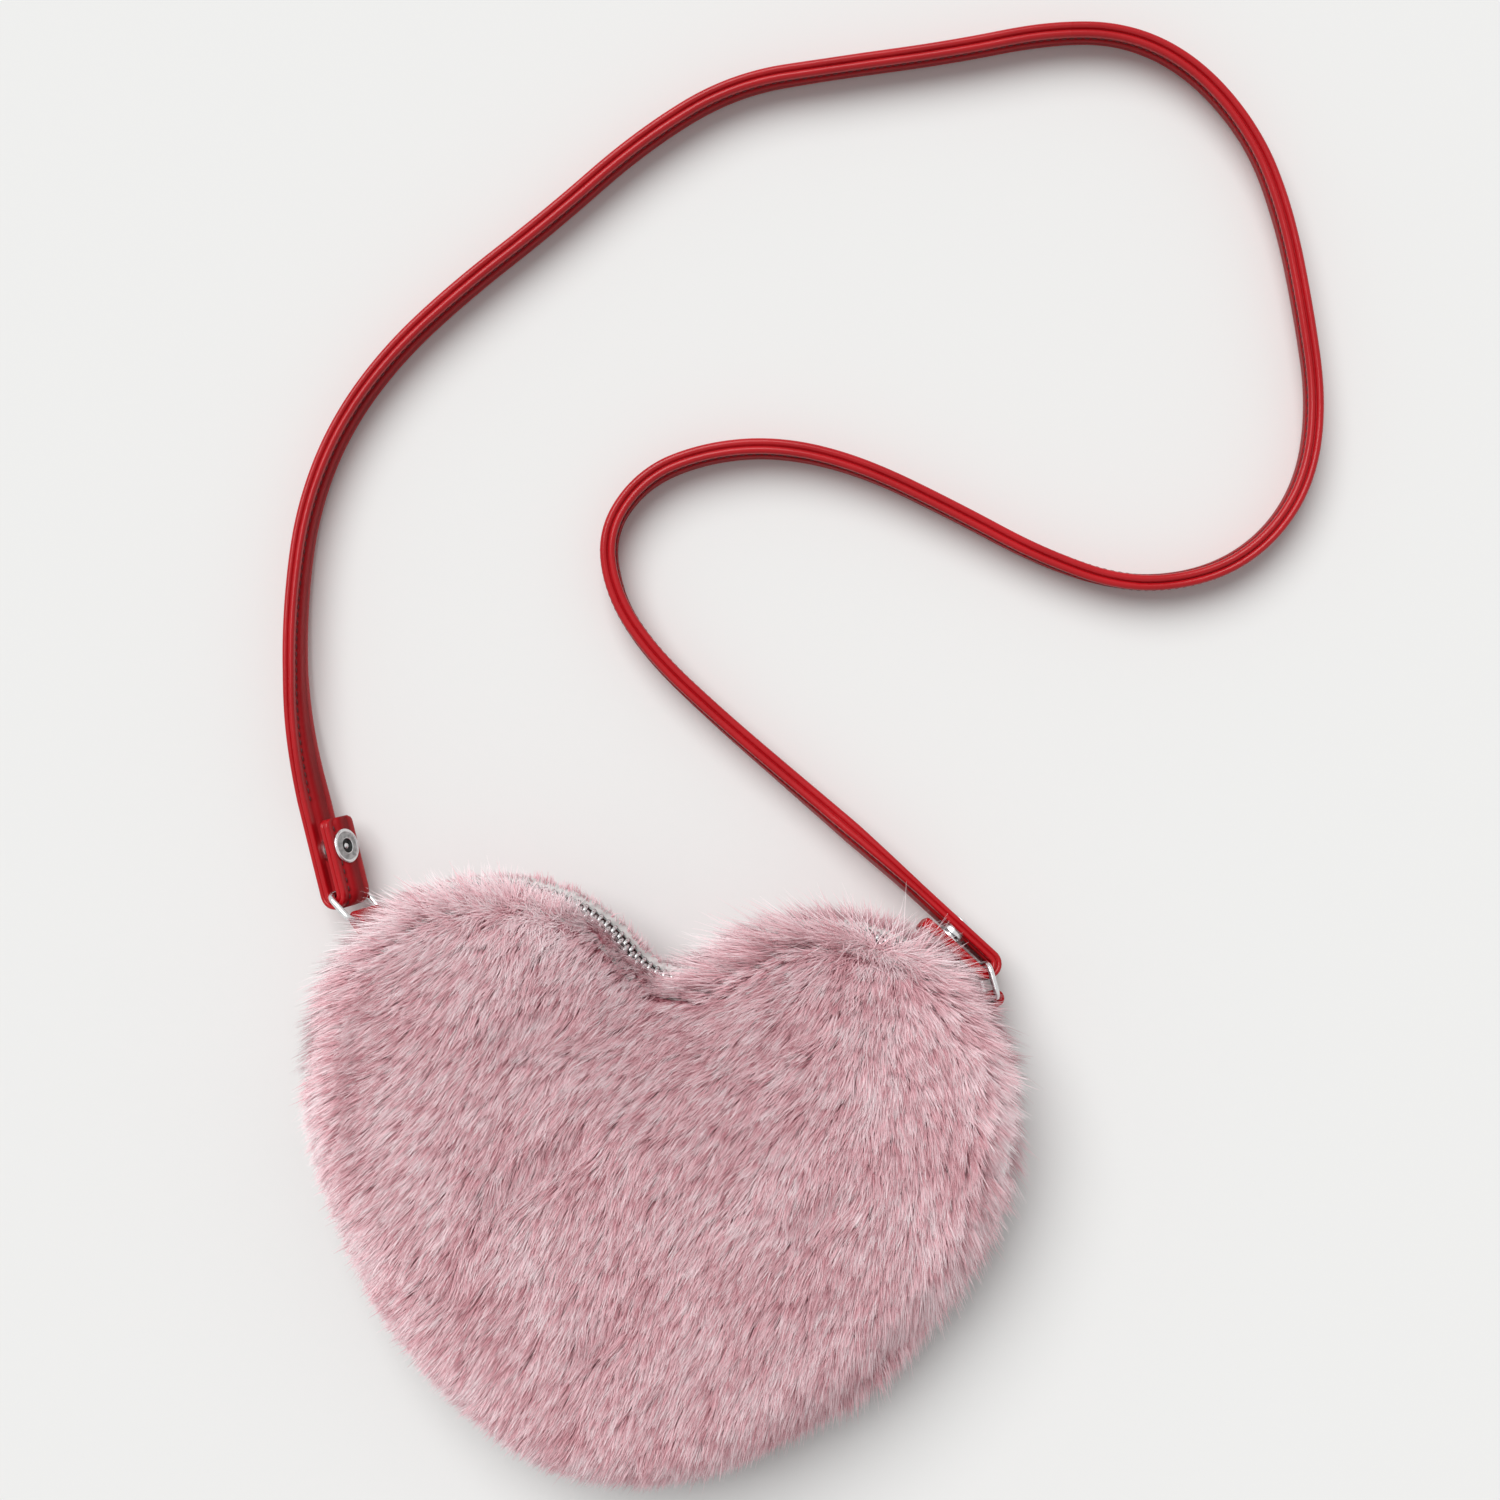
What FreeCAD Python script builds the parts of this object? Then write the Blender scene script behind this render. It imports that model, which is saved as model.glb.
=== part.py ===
"""Heart-shaped purse of long-pile fabric with a zip along its top and a narrow strap on two rings.

The purse lies on its back with its strap laid out beside it. Millimetres.
X runs across the heart, Y from its tip to its lobes, Z up through its thickness.
The origin is under the middle of the heart, on the surface that it lies on.
"""

import math
import os

import FreeCAD
import Part
from FreeCAD import Vector

# Heart outline at its widest level
heart_height = 167.0
lobe_radius = 52.0
lobe_spread = 46.0
tip_radius = 67.0
flank_radius = 124.0
notch_radius = 13.0

# Thickness of the stuffed heart and how softly its edges turn
widest_level = 17.0
front_rise = 27.0
front_shoulder = 22.0
back_shoulder = 20.0
crown_rise = 2.5
crown_share = 0.7
front_seam_level = 30.0
back_seam_level = 8.0

# Layers of the wall
pile_depth = 8.0
pile_depth_below = 6.0
foam_thickness = 2.5
foam_thickness_below = 2.0
lining_thickness = 1.0

# Shallow furrows where the pile on the front parts, from end to end, chosen by hand
partings = [
    ((-41.4, 40.4), (-18.0, 48.0)), ((-18.1, 14.6), (-37.4, -3.7)), ((-6.6, -39.1), (-4.0, -36.0)),
    ((21.6, 43.6), (38.1, 55.9)), ((54.7, 7.7), (45.4, 1.6)),
]
parting_depth = 2.0
parting_width = 13.0

# Zip
zip_inset = 4.8
zip_level = 30.0
zip_tilt = 30.0
tooth_pitch = 2.4
tooth_thickness = 0.95
tooth_depth = 2.2
tooth_bite = 0.7
chain_half_width = 3.0
front_tape_width = 6.0
back_tape_width = 3.2
tape_thickness = 0.6
tape_fit = 0.15
tape_run_out = 9.0
channel_half_width = 5.0
channel_depth = 3.2
channel_reach = 14.0
slider_length = 9.0
slider_half_width = 4.2
slider_plate = 0.9
slider_room = 0.4
wedge_setback = 0.6
wedge_shoulder = 1.0
wedge_length = 2.8
wedge_half_width = 0.8
arch_length = 6.0
arch_width = 1.6
arch_wall = 1.0
pull_pin_radius = 0.6
pull_fit = 0.1
pull_length = 20.0
pull_room = 1.0
pull_width = 5.0
pull_cheek = 0.8
pull_thickness = 1.0
zip_end_angle = 2.19
stop_length = 1.8

# Mouth: the part of the front over the right lobe that folds back once the zip is open,
# with angles from the closed zip's slider
mouth_start_angle = 13.0
mouth_end_angle = 115.0

# Rings and the tabs that hold them
tab_angle = 37.0
tab_stand_out = 2.5
tab_width = 10.0
tab_thickness = 1.4
tab_tail = 10.0
tab_slot = 5.0
tab_room = 0.3
wire_radius = 0.9
ring_opening = 13.0
ring_length = 10.0
ring_corner = 2.5
ring_fit = 0.1

# Strap
strap_width = 12.0
ply_thickness = 2.2
end_ply_thickness = 1.5
strap_clearance = 0.2
loop_radius = 1.4
loop_length = 28.0
flap_length = 21.0
flap_corner = 2.0
lead_length = {"left": 110.0, "right": 50.0}
strap_roll = {"left": 29.0, "right": 12.0}
strap_heading = {"left": 111.5, "right": 145.0}
ring_bend = {"left": 34.0, "right": 33.0}
tab_level = {"left": 14.0, "right": 12.0}
flap_swing = 10.0

# Press studs
snap_place = 12.5
cap_radius = 4.5
cap_rise = 1.1
shank_radius = 1.5
shank_fit = 0.1
socket_radius = 4.2
socket_height = 1.2
socket_floor = 0.4
stud_radius = 4.0
stud_base = 0.6
stud_head_radius = 2.2
stud_play = 0.7
stud_gap = 0.2
eyelet_radius = 5.0
eyelet_bore = 1.7
eyelet_tube = 2.2
eyelet_rise = 0.7

# Route of the strap on the table between its two ends, chosen by hand
strap_route = [
    (-120.1, 130.2), (-122.8, 154.0), (-122.8, 177.5), (-117.3, 201.0), (-105.6, 223.3),
    (-88.4, 244.5), (-65.2, 268.2), (-42.3, 294.5), (-18.2, 314.1), (10.9, 322.9),
    (41.9, 331.4), (70.0, 341.0), (92.0, 343.6), (112.8, 336.5), (132.1, 319.2),
    (143.9, 297.4), (153.0, 271.0), (160.0, 246.0), (160.0, 223.0), (151.2, 204.6),
    (135.7, 192.1), (113.0, 186.5), (88.0, 191.1), (60.4, 201.5), (33.0, 210.5),
    (9.0, 212.9), (-11.6, 208.5), (-28.5, 199.0), (-37.5, 182.1), (-32.3, 163.8),
    (-19.4, 148.7), (2.4, 133.0), (28.6, 115.9),
]
first_run = 14.0
last_run = 16.0
arc_share = 0.45

UP = Vector(0, 0, 1)


def polar(centre, radius, degrees, z=0.0):
    turn = math.radians(degrees)
    return Vector(centre[0] + radius * math.cos(turn), centre[1] + radius * math.sin(turn), z)


def heading(degrees):
    return polar((0.0, 0.0), 1.0, degrees)


def arc_edge(centre, radius, start, end, z=0.0):
    middle = polar(centre, radius, (start + end) / 2, z)
    return Part.Arc(polar(centre, radius, start, z), middle, polar(centre, radius, end, z)).toShape()


def place(shape, origin, x_axis, y_axis, z_axis):
    """A copy of a shape drawn at the origin, turned onto three square axes and moved to a point."""
    matrix = FreeCAD.Matrix(
        x_axis.x, y_axis.x, z_axis.x, origin.x,
        x_axis.y, y_axis.y, z_axis.y, origin.y,
        x_axis.z, y_axis.z, z_axis.z, origin.z,
        0, 0, 0, 1,
    )
    moved = shape.copy()
    moved.Placement = FreeCAD.Placement(matrix).multiply(shape.Placement)
    return moved


def block(x0, x1, y0, y1, z0, z1):
    return Part.makeBox(x1 - x0, y1 - y0, z1 - z0, Vector(x0, y0, z0))


def slab(points, z0, z1):
    """A flat plate with a straight-sided outline between two levels."""
    corners = [Vector(x, y, z0) for x, y in points]
    face = Part.Face(Part.makePolygon(corners + corners[:1]))
    return face.extrude(Vector(0, 0, z1 - z0))


def disc(radius, low, high, x=0.0):
    return Part.makeCylinder(radius, high - low, Vector(x, 0, low))


# Heart outline: two lobes, two flanks, a blunt tip and a filled notch, all tangent arcs
lobe_level = heart_height / 2 - lobe_radius
tip_level = tip_radius - heart_height / 2
right_lobe = (lobe_spread, lobe_level)
left_lobe = (-lobe_spread, lobe_level)
tip_centre = (0.0, tip_level)
notch_level = lobe_level + math.sqrt((lobe_radius + notch_radius) ** 2 - lobe_spread**2)
notch_centre = (0.0, notch_level)


def flank_middle():
    """The right flank's centre, from which both the lobe and the tip are touched on the inside."""
    to_tip = flank_radius - tip_radius
    to_lobe = flank_radius - lobe_radius
    across, along = lobe_spread, lobe_level - tip_level
    apart = math.hypot(across, along)
    reach = (to_tip**2 - to_lobe**2 + apart**2) / (2 * apart)
    aside = math.sqrt(to_tip**2 - reach**2)
    x = (reach * across - aside * along) / apart
    y = tip_level + (reach * along + aside * across) / apart
    return (x, y)


right_flank = flank_middle()
left_flank = (-right_flank[0], right_flank[1])
notch_angle = math.degrees(math.atan2(notch_level - lobe_level, -lobe_spread))
side_angle = math.degrees(math.atan2(lobe_level - right_flank[1], lobe_spread - right_flank[0]))
tip_angle = math.degrees(math.atan2(tip_level - right_flank[1], -right_flank[0]))


def heart_wire(inset, z):
    """The outline, drawn in by an even inset, at one level."""
    lobe = lobe_radius - inset
    flank = flank_radius - inset
    edges = [
        arc_edge(right_lobe, lobe, side_angle, notch_angle, z),
        arc_edge(notch_centre, notch_radius + inset, notch_angle - 180, -notch_angle, z),
        arc_edge(left_lobe, lobe, 180 - notch_angle, 180 - side_angle, z),
        arc_edge(left_flank, flank, 180 - side_angle, 180 - tip_angle, z),
        arc_edge(tip_centre, tip_radius - inset, -180 - tip_angle, tip_angle, z),
        arc_edge(right_flank, flank, tip_angle, side_angle, z),
    ]
    return Part.Wire(edges)


def pillow(side, above, below):
    """The stuffed heart, drawn in by these amounts at its sides, its front and its back."""
    rings = []
    for turn in (-90, -60, -30, 0, 22.5, 45, 67.5, 90):
        shoulder = back_shoulder if turn < 0 else front_shoulder
        rise = widest_level - below if turn < 0 else front_rise - above
        share = math.radians(turn)
        inset = shoulder - (shoulder - side) * math.cos(share)
        rings.append(heart_wire(inset, widest_level + rise * math.sin(share)))
    crown_run = (lobe_radius - front_shoulder) * crown_share
    for share in (0.5, 1.0):
        level = widest_level + front_rise - above + crown_rise * share * (2 - share)
        rings.append(heart_wire(front_shoulder + crown_run * share, level))
    return Part.makeLoft(rings, True, True)


def parted(heart):
    """The heart with a furrow pressed into its front along each parting of the pile."""
    radius = (parting_width**2 / 4 + parting_depth**2) / (2 * parting_depth)
    for spots in partings:
        ends = []
        for x, y in spots:
            plumb = Part.makeLine(Vector(x, y, widest_level), Vector(x, y, heart_height))
            ends.append(Vector(x, y, heart.common(plumb).BoundBox.ZMax + radius - parting_depth))
        roller = Part.makeCylinder(radius, (ends[1] - ends[0]).Length, ends[0], ends[1] - ends[0])
        heart = heart.cut(roller.fuse([Part.makeSphere(radius, end) for end in ends]))
    return heart


def between(shape, low, high):
    room = heart_height
    return shape.common(block(-room, room, -room, room, low, high))


# Zip path: over the right lobe, through the notch and over the left lobe
tilt = math.radians(zip_tilt)
zip_radius = lobe_radius - zip_inset
zip_notch_radius = notch_radius + zip_inset
per_degree = math.radians(1.0) * zip_radius
slider_angle = side_angle + zip_end_angle
left_end_angle = 180 - slider_angle
tape_end = slider_angle - tape_run_out / per_degree
pull_end = slider_angle - math.degrees(math.atan2(pull_length + pull_room, zip_radius))
channel_end = min(tape_end, pull_end)
far_tape_end = left_end_angle + tape_run_out / per_degree


def zip_section(centre, radius, outward, angle, profile):
    """A closed outline across the zip at one angle. Profile points run (towards front, outwards)."""
    points = []
    for across, out in profile:
        shift = out * math.cos(tilt) - across * math.sin(tilt)
        level = zip_level + out * math.sin(tilt) + across * math.cos(tilt)
        points.append(polar(centre, radius + outward * shift, angle, level))
    return Part.Face(Part.makePolygon(points + points[:1]))


def along_zip(profile, start, end):
    """A solid of one cross-section that follows the zip from its right end to its left end."""
    runs = [
        (right_lobe, zip_radius, 1, start, notch_angle - start),
        (notch_centre, zip_notch_radius, -1, notch_angle - 180, 180 - 2 * notch_angle),
        (left_lobe, zip_radius, 1, 180 - notch_angle, end - 180 + notch_angle),
    ]
    solids = []
    for centre, radius, outward, angle, sweep in runs:
        face = zip_section(centre, radius, outward, angle, profile)
        solids.append(face.revolve(Vector(centre[0], centre[1], 0), UP, sweep))
    return solids[0].fuse(solids[1:]).removeSplitter()


def rectangle(a0, a1, b0, b1):
    return [(a0, b0), (a1, b0), (a1, b1), (a0, b1)]


def zip_frame(centre, radius, outward, angle):
    """Point, direction towards the left end, direction to the front panel, direction outwards."""
    away = heading(angle) * outward
    point = polar(centre, radius, angle, zip_level)
    forward = UP.cross(away)
    front = UP * math.cos(tilt) - away * math.sin(tilt)
    out = UP * math.sin(tilt) + away * math.cos(tilt)
    return point, forward, front, out


def zip_station(distance):
    """The zip's frame at a distance from the start of the right lobe's teeth."""
    right_run = math.radians(notch_angle - slider_angle) * zip_radius
    notch_run = math.radians(2 * notch_angle - 180) * zip_notch_radius
    if distance < right_run:
        turn = slider_angle + math.degrees(distance / zip_radius)
        return zip_frame(right_lobe, zip_radius, 1, turn)
    if distance < right_run + notch_run:
        turn = notch_angle - 180 - math.degrees((distance - right_run) / zip_notch_radius)
        return zip_frame(notch_centre, zip_notch_radius, -1, turn)
    turn = 180 - notch_angle + math.degrees((distance - right_run - notch_run) / zip_radius)
    return zip_frame(left_lobe, zip_radius, 1, turn)


def zip_length():
    lobes = math.radians(2 * notch_angle - 180 + left_end_angle - slider_angle) * zip_radius
    return lobes + math.radians(2 * notch_angle - 180) * zip_notch_radius


# The fold of the mouth is a chord of the zip's arc on the right lobe
mouth_reach = zip_radius * math.cos(math.radians(mouth_end_angle - mouth_start_angle) / 2)
fold_angle = slider_angle + (mouth_start_angle + mouth_end_angle) / 2
fold_point = polar(right_lobe, mouth_reach, fold_angle, widest_level + front_rise)
mouth_heading = heading(fold_angle)


def in_mouth(point):
    return (point - fold_point).dot(mouth_heading) > 0


def mouth_side():
    """Everything beyond the fold of the mouth."""
    room = heart_height
    return place(block(0, room, -room, room, -room, room), fold_point, mouth_heading,
                 UP.cross(mouth_heading), UP)


def zip_row(side, offset):
    """The teeth of one tape and their places. Side is 1 on the front tape and -1 on the back tape."""
    low, high = sorted((-side * tooth_bite, side * chain_half_width))
    half = tooth_thickness / 2
    tooth = block(-half, half, low, high, -tooth_depth / 2, tooth_depth / 2)
    count = int((zip_length() - offset - half) / tooth_pitch)
    stations = [zip_station(offset + half + tooth_pitch * k) for k in range(count + 1)]
    return [(place(tooth, *station), station[0]) for station in stations]


def at_zip(shape, angle, centre=right_lobe):
    return place(shape, *zip_frame(centre, zip_radius, 1, angle))


def slider_body():
    """Two plates on a wedge, with rims that hold the tapes, and an arch for the pull."""
    half = slider_length / 2
    inner = tooth_depth / 2 + slider_room
    outer = inner + slider_plate
    rim = slider_half_width - slider_plate
    waist = slider_half_width * 0.88
    plan = [(-half, -slider_half_width), (0, -slider_half_width), (half, -waist)]
    plan += [(x, -y) for x, y in reversed(plan)]
    body = slab(plan, inner, outer).fuse(slab(plan, -outer, -inner))
    grip = tape_thickness / 2 + slider_room
    for side in (-1, 1):
        low, high = sorted((side * rim, side * slider_half_width))
        body = body.fuse(block(-half, 0, low, high, grip, inner))
        body = body.fuse(block(-half, 0, low, high, -inner, -grip))
    tip = wedge_setback - half
    wedge = [(tip, 0), (tip + wedge_shoulder, -wedge_half_width), (tip + wedge_length, 0),
             (tip + wedge_shoulder, wedge_half_width)]
    body = body.fuse(slab(wedge, -inner, inner))
    opening = 2 * (pull_pin_radius + pull_fit)
    arch = block(-arch_length / 2, arch_length / 2, -arch_width / 2, arch_width / 2,
                 outer, outer + opening + arch_wall)
    hollow = arch_length / 2 - arch_wall
    arch = arch.cut(block(-hollow, hollow, -arch_width, arch_width, outer, outer + opening))
    return body.fuse(arch).removeSplitter()


def pull_level():
    return tooth_depth / 2 + slider_room + slider_plate + pull_pin_radius + pull_fit


def pull_tab():
    """A flat tab on two cheeks that straddle the arch, with the pin that runs through it."""
    level = pull_level()
    gap = arch_width / 2 + pull_fit
    side = gap + pull_cheek
    half = pull_thickness / 2
    start = arch_length
    pin = Part.makeCylinder(pull_pin_radius, 2 * side, Vector(0, -side, level), Vector(0, 1, 0))
    tab = block(-pull_length, -start, -pull_width / 2, pull_width / 2, level - half, level + half)
    for edge in (gap, -side):
        cheek = block(-start - half, half * 0.7, edge, edge + pull_cheek, level - half, level + half)
        tab = tab.fuse(cheek)
    hole = disc(pull_width / 4, level - half, level + half, pull_width / 2 - pull_length)
    return tab.fuse(pin).cut(hole).removeSplitter()


# Ends of the strap: each has a tab on the heart, a ring, a strap loop and a flap with a press stud
tab_radius = lobe_radius + tab_stand_out
loop_outside = loop_radius + 2 * end_ply_thickness
loop_middle = loop_radius + end_ply_thickness


class StrapEnd:
    """Axes of one end: along the strap away from its ring, across its width, and out of its flap."""

    def __init__(self, side):
        mirror = 1 if side == "right" else -1
        lobe = right_lobe if side == "right" else left_lobe
        angle = tab_angle if side == "right" else 180 - tab_angle
        self.side = side
        self.along = heading(strap_heading[side])
        level_normal = self.along.cross(UP) * -mirror
        roll = math.radians(strap_roll[side])
        self.out = level_normal * math.cos(roll) + UP * math.sin(roll)
        self.across = self.out.cross(self.along)
        bend = math.radians(ring_bend[side])
        self.inward = self.along * -math.cos(bend) + self.out * math.sin(bend)
        self.bar = polar(lobe, tab_radius, angle, tab_level[side])
        self.bow = self.bar - self.inward * ring_length
        radial = heading(angle + 180)
        flat = radial - self.across * radial.dot(self.across)
        self.tail = flat.normalize()
        self.end = self.bow + self.along * loop_length - self.out * loop_middle

    def set_on(self, shape):
        return place(shape, self.bow, self.along, self.across, self.out)

    def set_on_bar(self, shape):
        return place(shape, self.bar, self.tail, self.across, self.tail.cross(self.across))

    def tab(self, room=0.0):
        """A folded leather strip round the ring's bar, with its tails in the side of the heart."""
        inner = wire_radius + ring_fit
        outer = inner + tab_thickness + room
        half = tab_width / 2 + room
        body = Part.makeCylinder(outer, 2 * half, Vector(0, -half, 0), Vector(0, 1, 0))
        body = body.fuse(block(0, tab_tail + room, -half, half, -outer, outer))
        if room:
            return self.set_on_bar(body)
        bore = Part.makeCylinder(inner, 2 * half, Vector(0, -half, 0), Vector(0, 1, 0))
        bore = bore.fuse(block(0, tab_slot, -half, half, -inner, inner))
        return self.set_on_bar(body.cut(bore).removeSplitter())

    def ring(self):
        """A wire bent to a rectangle with round corners."""
        wide = ring_opening / 2 + wire_radius
        corners = [(0, wide), (ring_length, wide), (ring_length, -wide), (0, -wide)]
        edges = []
        for k, (x, y) in enumerate(corners):
            before = Vector(*corners[k - 1], 0) - Vector(x, y, 0)
            after = Vector(*corners[(k + 1) % 4], 0) - Vector(x, y, 0)
            before.normalize()
            after.normalize()
            point = Vector(x, y, 0)
            centre = point + (before + after) * ring_corner
            middle = centre - (before + after).normalize() * ring_corner
            start, end = point + before * ring_corner, point + after * ring_corner
            following = Vector(*corners[(k + 1) % 4], 0) - after * ring_corner
            edges.append(Part.Arc(start, middle, end).toShape())
            edges.append(Part.LineSegment(end, following).toShape())
        path = Part.Wire(edges)
        start = edges[0].Vertexes[0].Point
        ahead = edges[0].tangentAt(edges[0].FirstParameter)
        circle = Part.Wire(Part.makeCircle(wire_radius, start, ahead))
        wire = path.makePipeShell([circle], True, False)
        return place(wire, self.bow, self.inward, self.across, self.inward.cross(self.across))

    def loop(self):
        """The strap's end, folded round the ring, with a hole for the press stud's cap."""
        half = strap_width / 2
        bend = Part.makeCylinder(loop_outside, strap_width, Vector(0, -half, 0), Vector(0, 1, 0))
        bend = bend.cut(Part.makeCylinder(loop_radius, strap_width, Vector(0, -half, 0), Vector(0, 1, 0)))
        bend = bend.cut(block(0, 2 * loop_outside, -half, half, -loop_outside, loop_outside))
        straight = block(0, loop_length, -half, half, -loop_outside, -loop_radius)
        hole = disc(shank_radius + shank_fit, -loop_outside, -loop_radius, snap_place)
        return self.set_on(bend.fuse(straight).cut(hole).removeSplitter())

    def flap(self):
        """The strap's tip, lying back along the strap, with its corners rounded."""
        half = strap_width / 2
        tip = block(0, flap_length, -half, half, loop_radius, loop_outside)
        edges = [e for e in tip.Edges
                 if all(v.X > flap_length / 2 for v in e.Vertexes)
                 and abs(e.Vertexes[0].Z - e.Vertexes[1].Z) > end_ply_thickness]
        tip = tip.makeFillet(flap_corner, edges)
        return self.set_on(tip.cut(disc(eyelet_tube + shank_fit, loop_radius, loop_outside, snap_place)))

    def cap(self):
        crown = Part.makeCone(cap_radius, cap_radius * 0.65, cap_rise * 0.6,
                              Vector(snap_place, 0, -loop_outside - cap_rise * 0.4), Vector(0, 0, -1))
        crown = crown.fuse(disc(cap_radius, -loop_outside - cap_rise * 0.4, -loop_outside, snap_place))
        shank = disc(shank_radius, -loop_outside, -loop_radius, snap_place)
        return self.set_on(crown.fuse(shank).removeSplitter())

    def socket(self):
        top = socket_height - loop_radius
        body = disc(socket_radius, -loop_radius, top, snap_place)
        recess = disc(stud_head_radius + stud_play, socket_floor - loop_radius, top, snap_place)
        return self.set_on(body.cut(recess))

    def stud(self):
        base = disc(stud_radius, loop_radius - stud_base, loop_radius, snap_place)
        lowest = socket_floor - loop_radius + stud_gap
        head = disc(stud_head_radius, lowest, loop_radius - stud_base, snap_place)
        return self.set_on(base.fuse(head).removeSplitter())

    def eyelet(self):
        """A flanged tube through the flap, which holds the stud."""
        body = disc(eyelet_radius, loop_outside, loop_outside + eyelet_rise, snap_place)
        body = body.fuse(disc(eyelet_tube, loop_radius, loop_outside, snap_place))
        return self.set_on(body.cut(disc(eyelet_bore, loop_radius, loop_outside + eyelet_rise, snap_place)))

    def flap_room(self):
        """The space that the flap needs to lift off its stud, which the soft pile gives way to."""
        swing = flap_length * math.sin(math.radians(flap_swing))
        outside = loop_outside + eyelet_rise + tab_room
        half = strap_width / 2 + 2 * tab_room
        room = slab([(-loop_outside - tab_room, -outside), (flap_length + loop_outside, -outside),
                     (flap_length + loop_outside, outside + swing + loop_radius),
                     (-loop_outside - tab_room, outside)], -half, half)
        turned = place(room, Vector(0, 0, 0), Vector(1, 0, 0), Vector(0, 0, 1), Vector(0, -1, 0))
        return self.set_on(turned)


ends = {side: StrapEnd(side) for side in ("left", "right")}


class Route:
    """The strap's plan: straight runs joined by tangent arcs, measured from the left end."""

    def __init__(self, points):
        self.pieces = []
        self.radii = []
        tangents = []
        for a, b, c in zip(points, points[1:], points[2:]):
            before, after = b - a, c - b
            turn = before.getAngle(after)
            reach = arc_share * min(before.Length, after.Length)
            radius = reach / math.tan(turn / 2)
            side = 1 if before.cross(after).z > 0 else -1
            start = b - before.normalize() * reach
            normal = UP.cross(before) * side
            end = b + after.normalize() * reach
            tangents.append((start, start + normal * radius, radius, side * turn, end))
            self.radii.append(radius)
        here = points[0]
        for start, centre, radius, turn, end in tangents:
            self.pieces.append((here, start, None, 0.0, 0.0))
            self.pieces.append((start, end, centre, radius, turn))
            here = end
        self.pieces.append((here, points[-1], None, 0.0, 0.0))

    @staticmethod
    def piece_length(piece):
        start, end, centre, radius, turn = piece
        return radius * abs(turn) if centre else (end - start).Length

    def length(self):
        return sum(self.piece_length(piece) for piece in self.pieces)

    @staticmethod
    def spot(piece, distance):
        """Point and direction at a distance along one piece."""
        start, end, centre, radius, turn = piece
        if centre is None:
            ahead = (end - start).normalize()
            return start + ahead * distance, ahead
        swung = FreeCAD.Rotation(UP, math.degrees(math.copysign(distance / radius, turn)))
        spoke = swung.multVec(start - centre)
        return centre + spoke, (UP.cross(spoke) * math.copysign(1, turn)).normalize()

    def at(self, distance):
        for piece in self.pieces:
            length = self.piece_length(piece)
            if distance <= length:
                return self.spot(piece, distance)
            distance -= length
        return self.spot(self.pieces[-1], self.piece_length(self.pieces[-1]))

    def offset_edges(self, first, last, shift):
        """Edges beside the path, shifted to its right, between two distances."""
        edges, passed = [], 0.0
        for piece in self.pieces:
            length = self.piece_length(piece)
            low, high = max(first - passed, 0.0), min(last - passed, length)
            passed += length
            if high - low < 1e-6:
                continue
            points = []
            for distance in (low, (low + high) / 2, high):
                point, ahead = self.spot(piece, distance)
                points.append(point + ahead.cross(UP) * shift)
            edge = Part.LineSegment(points[0], points[2]) if piece[2] is None else Part.Arc(*points)
            edges.append(edge.toShape())
        return edges


def flat(point):
    return Vector(point.x, point.y, 0)


left_start, right_start = flat(ends["left"].end), flat(ends["right"].end)
route = Route(
    [left_start, left_start + ends["left"].along * first_run]
    + [Vector(x, y, 0) for x, y in strap_route]
    + [right_start + ends["right"].along * last_run, right_start]
)
strap_length = route.length()
strap_level = strap_clearance + strap_width / 2


def strap_ply(side):
    """One of the strap's two plies where it stands on its edge on the table. 1 is the inner ply."""
    first, last = lead_length["left"], strap_length - lead_length["right"]
    near = route.offset_edges(first, last, 0.0)
    far = route.offset_edges(first, last, side * ply_thickness)
    start = Part.makeLine(near[0].Vertexes[0].Point, far[0].Vertexes[0].Point)
    end = Part.makeLine(near[-1].Vertexes[-1].Point, far[-1].Vertexes[-1].Point)
    outline = Part.Wire(Part.__sortEdges__(near + far + [start, end]))
    face = Part.Face(outline)
    face.translate(Vector(0, 0, strap_clearance))
    return face.extrude(Vector(0, 0, strap_width))


def lead_ply(end, side):
    """One ply of the stretch that rises and leans from the table to the strap's end."""
    length = lead_length[end.side]
    steps = 14
    wires = []
    for k in range(steps + 1):
        share = k / steps
        ease = share * share * (3 - 2 * share)
        travel = length * share
        point, ahead = route.at(travel if end.side == "left" else strap_length - travel)
        roll = math.radians(strap_roll[end.side]) * (1 - ease)
        out = ahead.cross(UP) * math.cos(roll) + UP * math.sin(roll)
        across = out.cross(ahead)
        level = end.end.z + (strap_level - end.end.z) * ease
        thick = end_ply_thickness + (ply_thickness - end_ply_thickness) * min(1.0, 4 * share)
        middle = Vector(point.x, point.y, level)
        half = across * (strap_width / 2)
        depth = out * (side * thick)
        corners = [middle - half, middle + half, middle + half + depth, middle - half + depth]
        wires.append(Part.makePolygon(corners + corners[:1]))
    return Part.makeLoft(wires, True, True)


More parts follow.
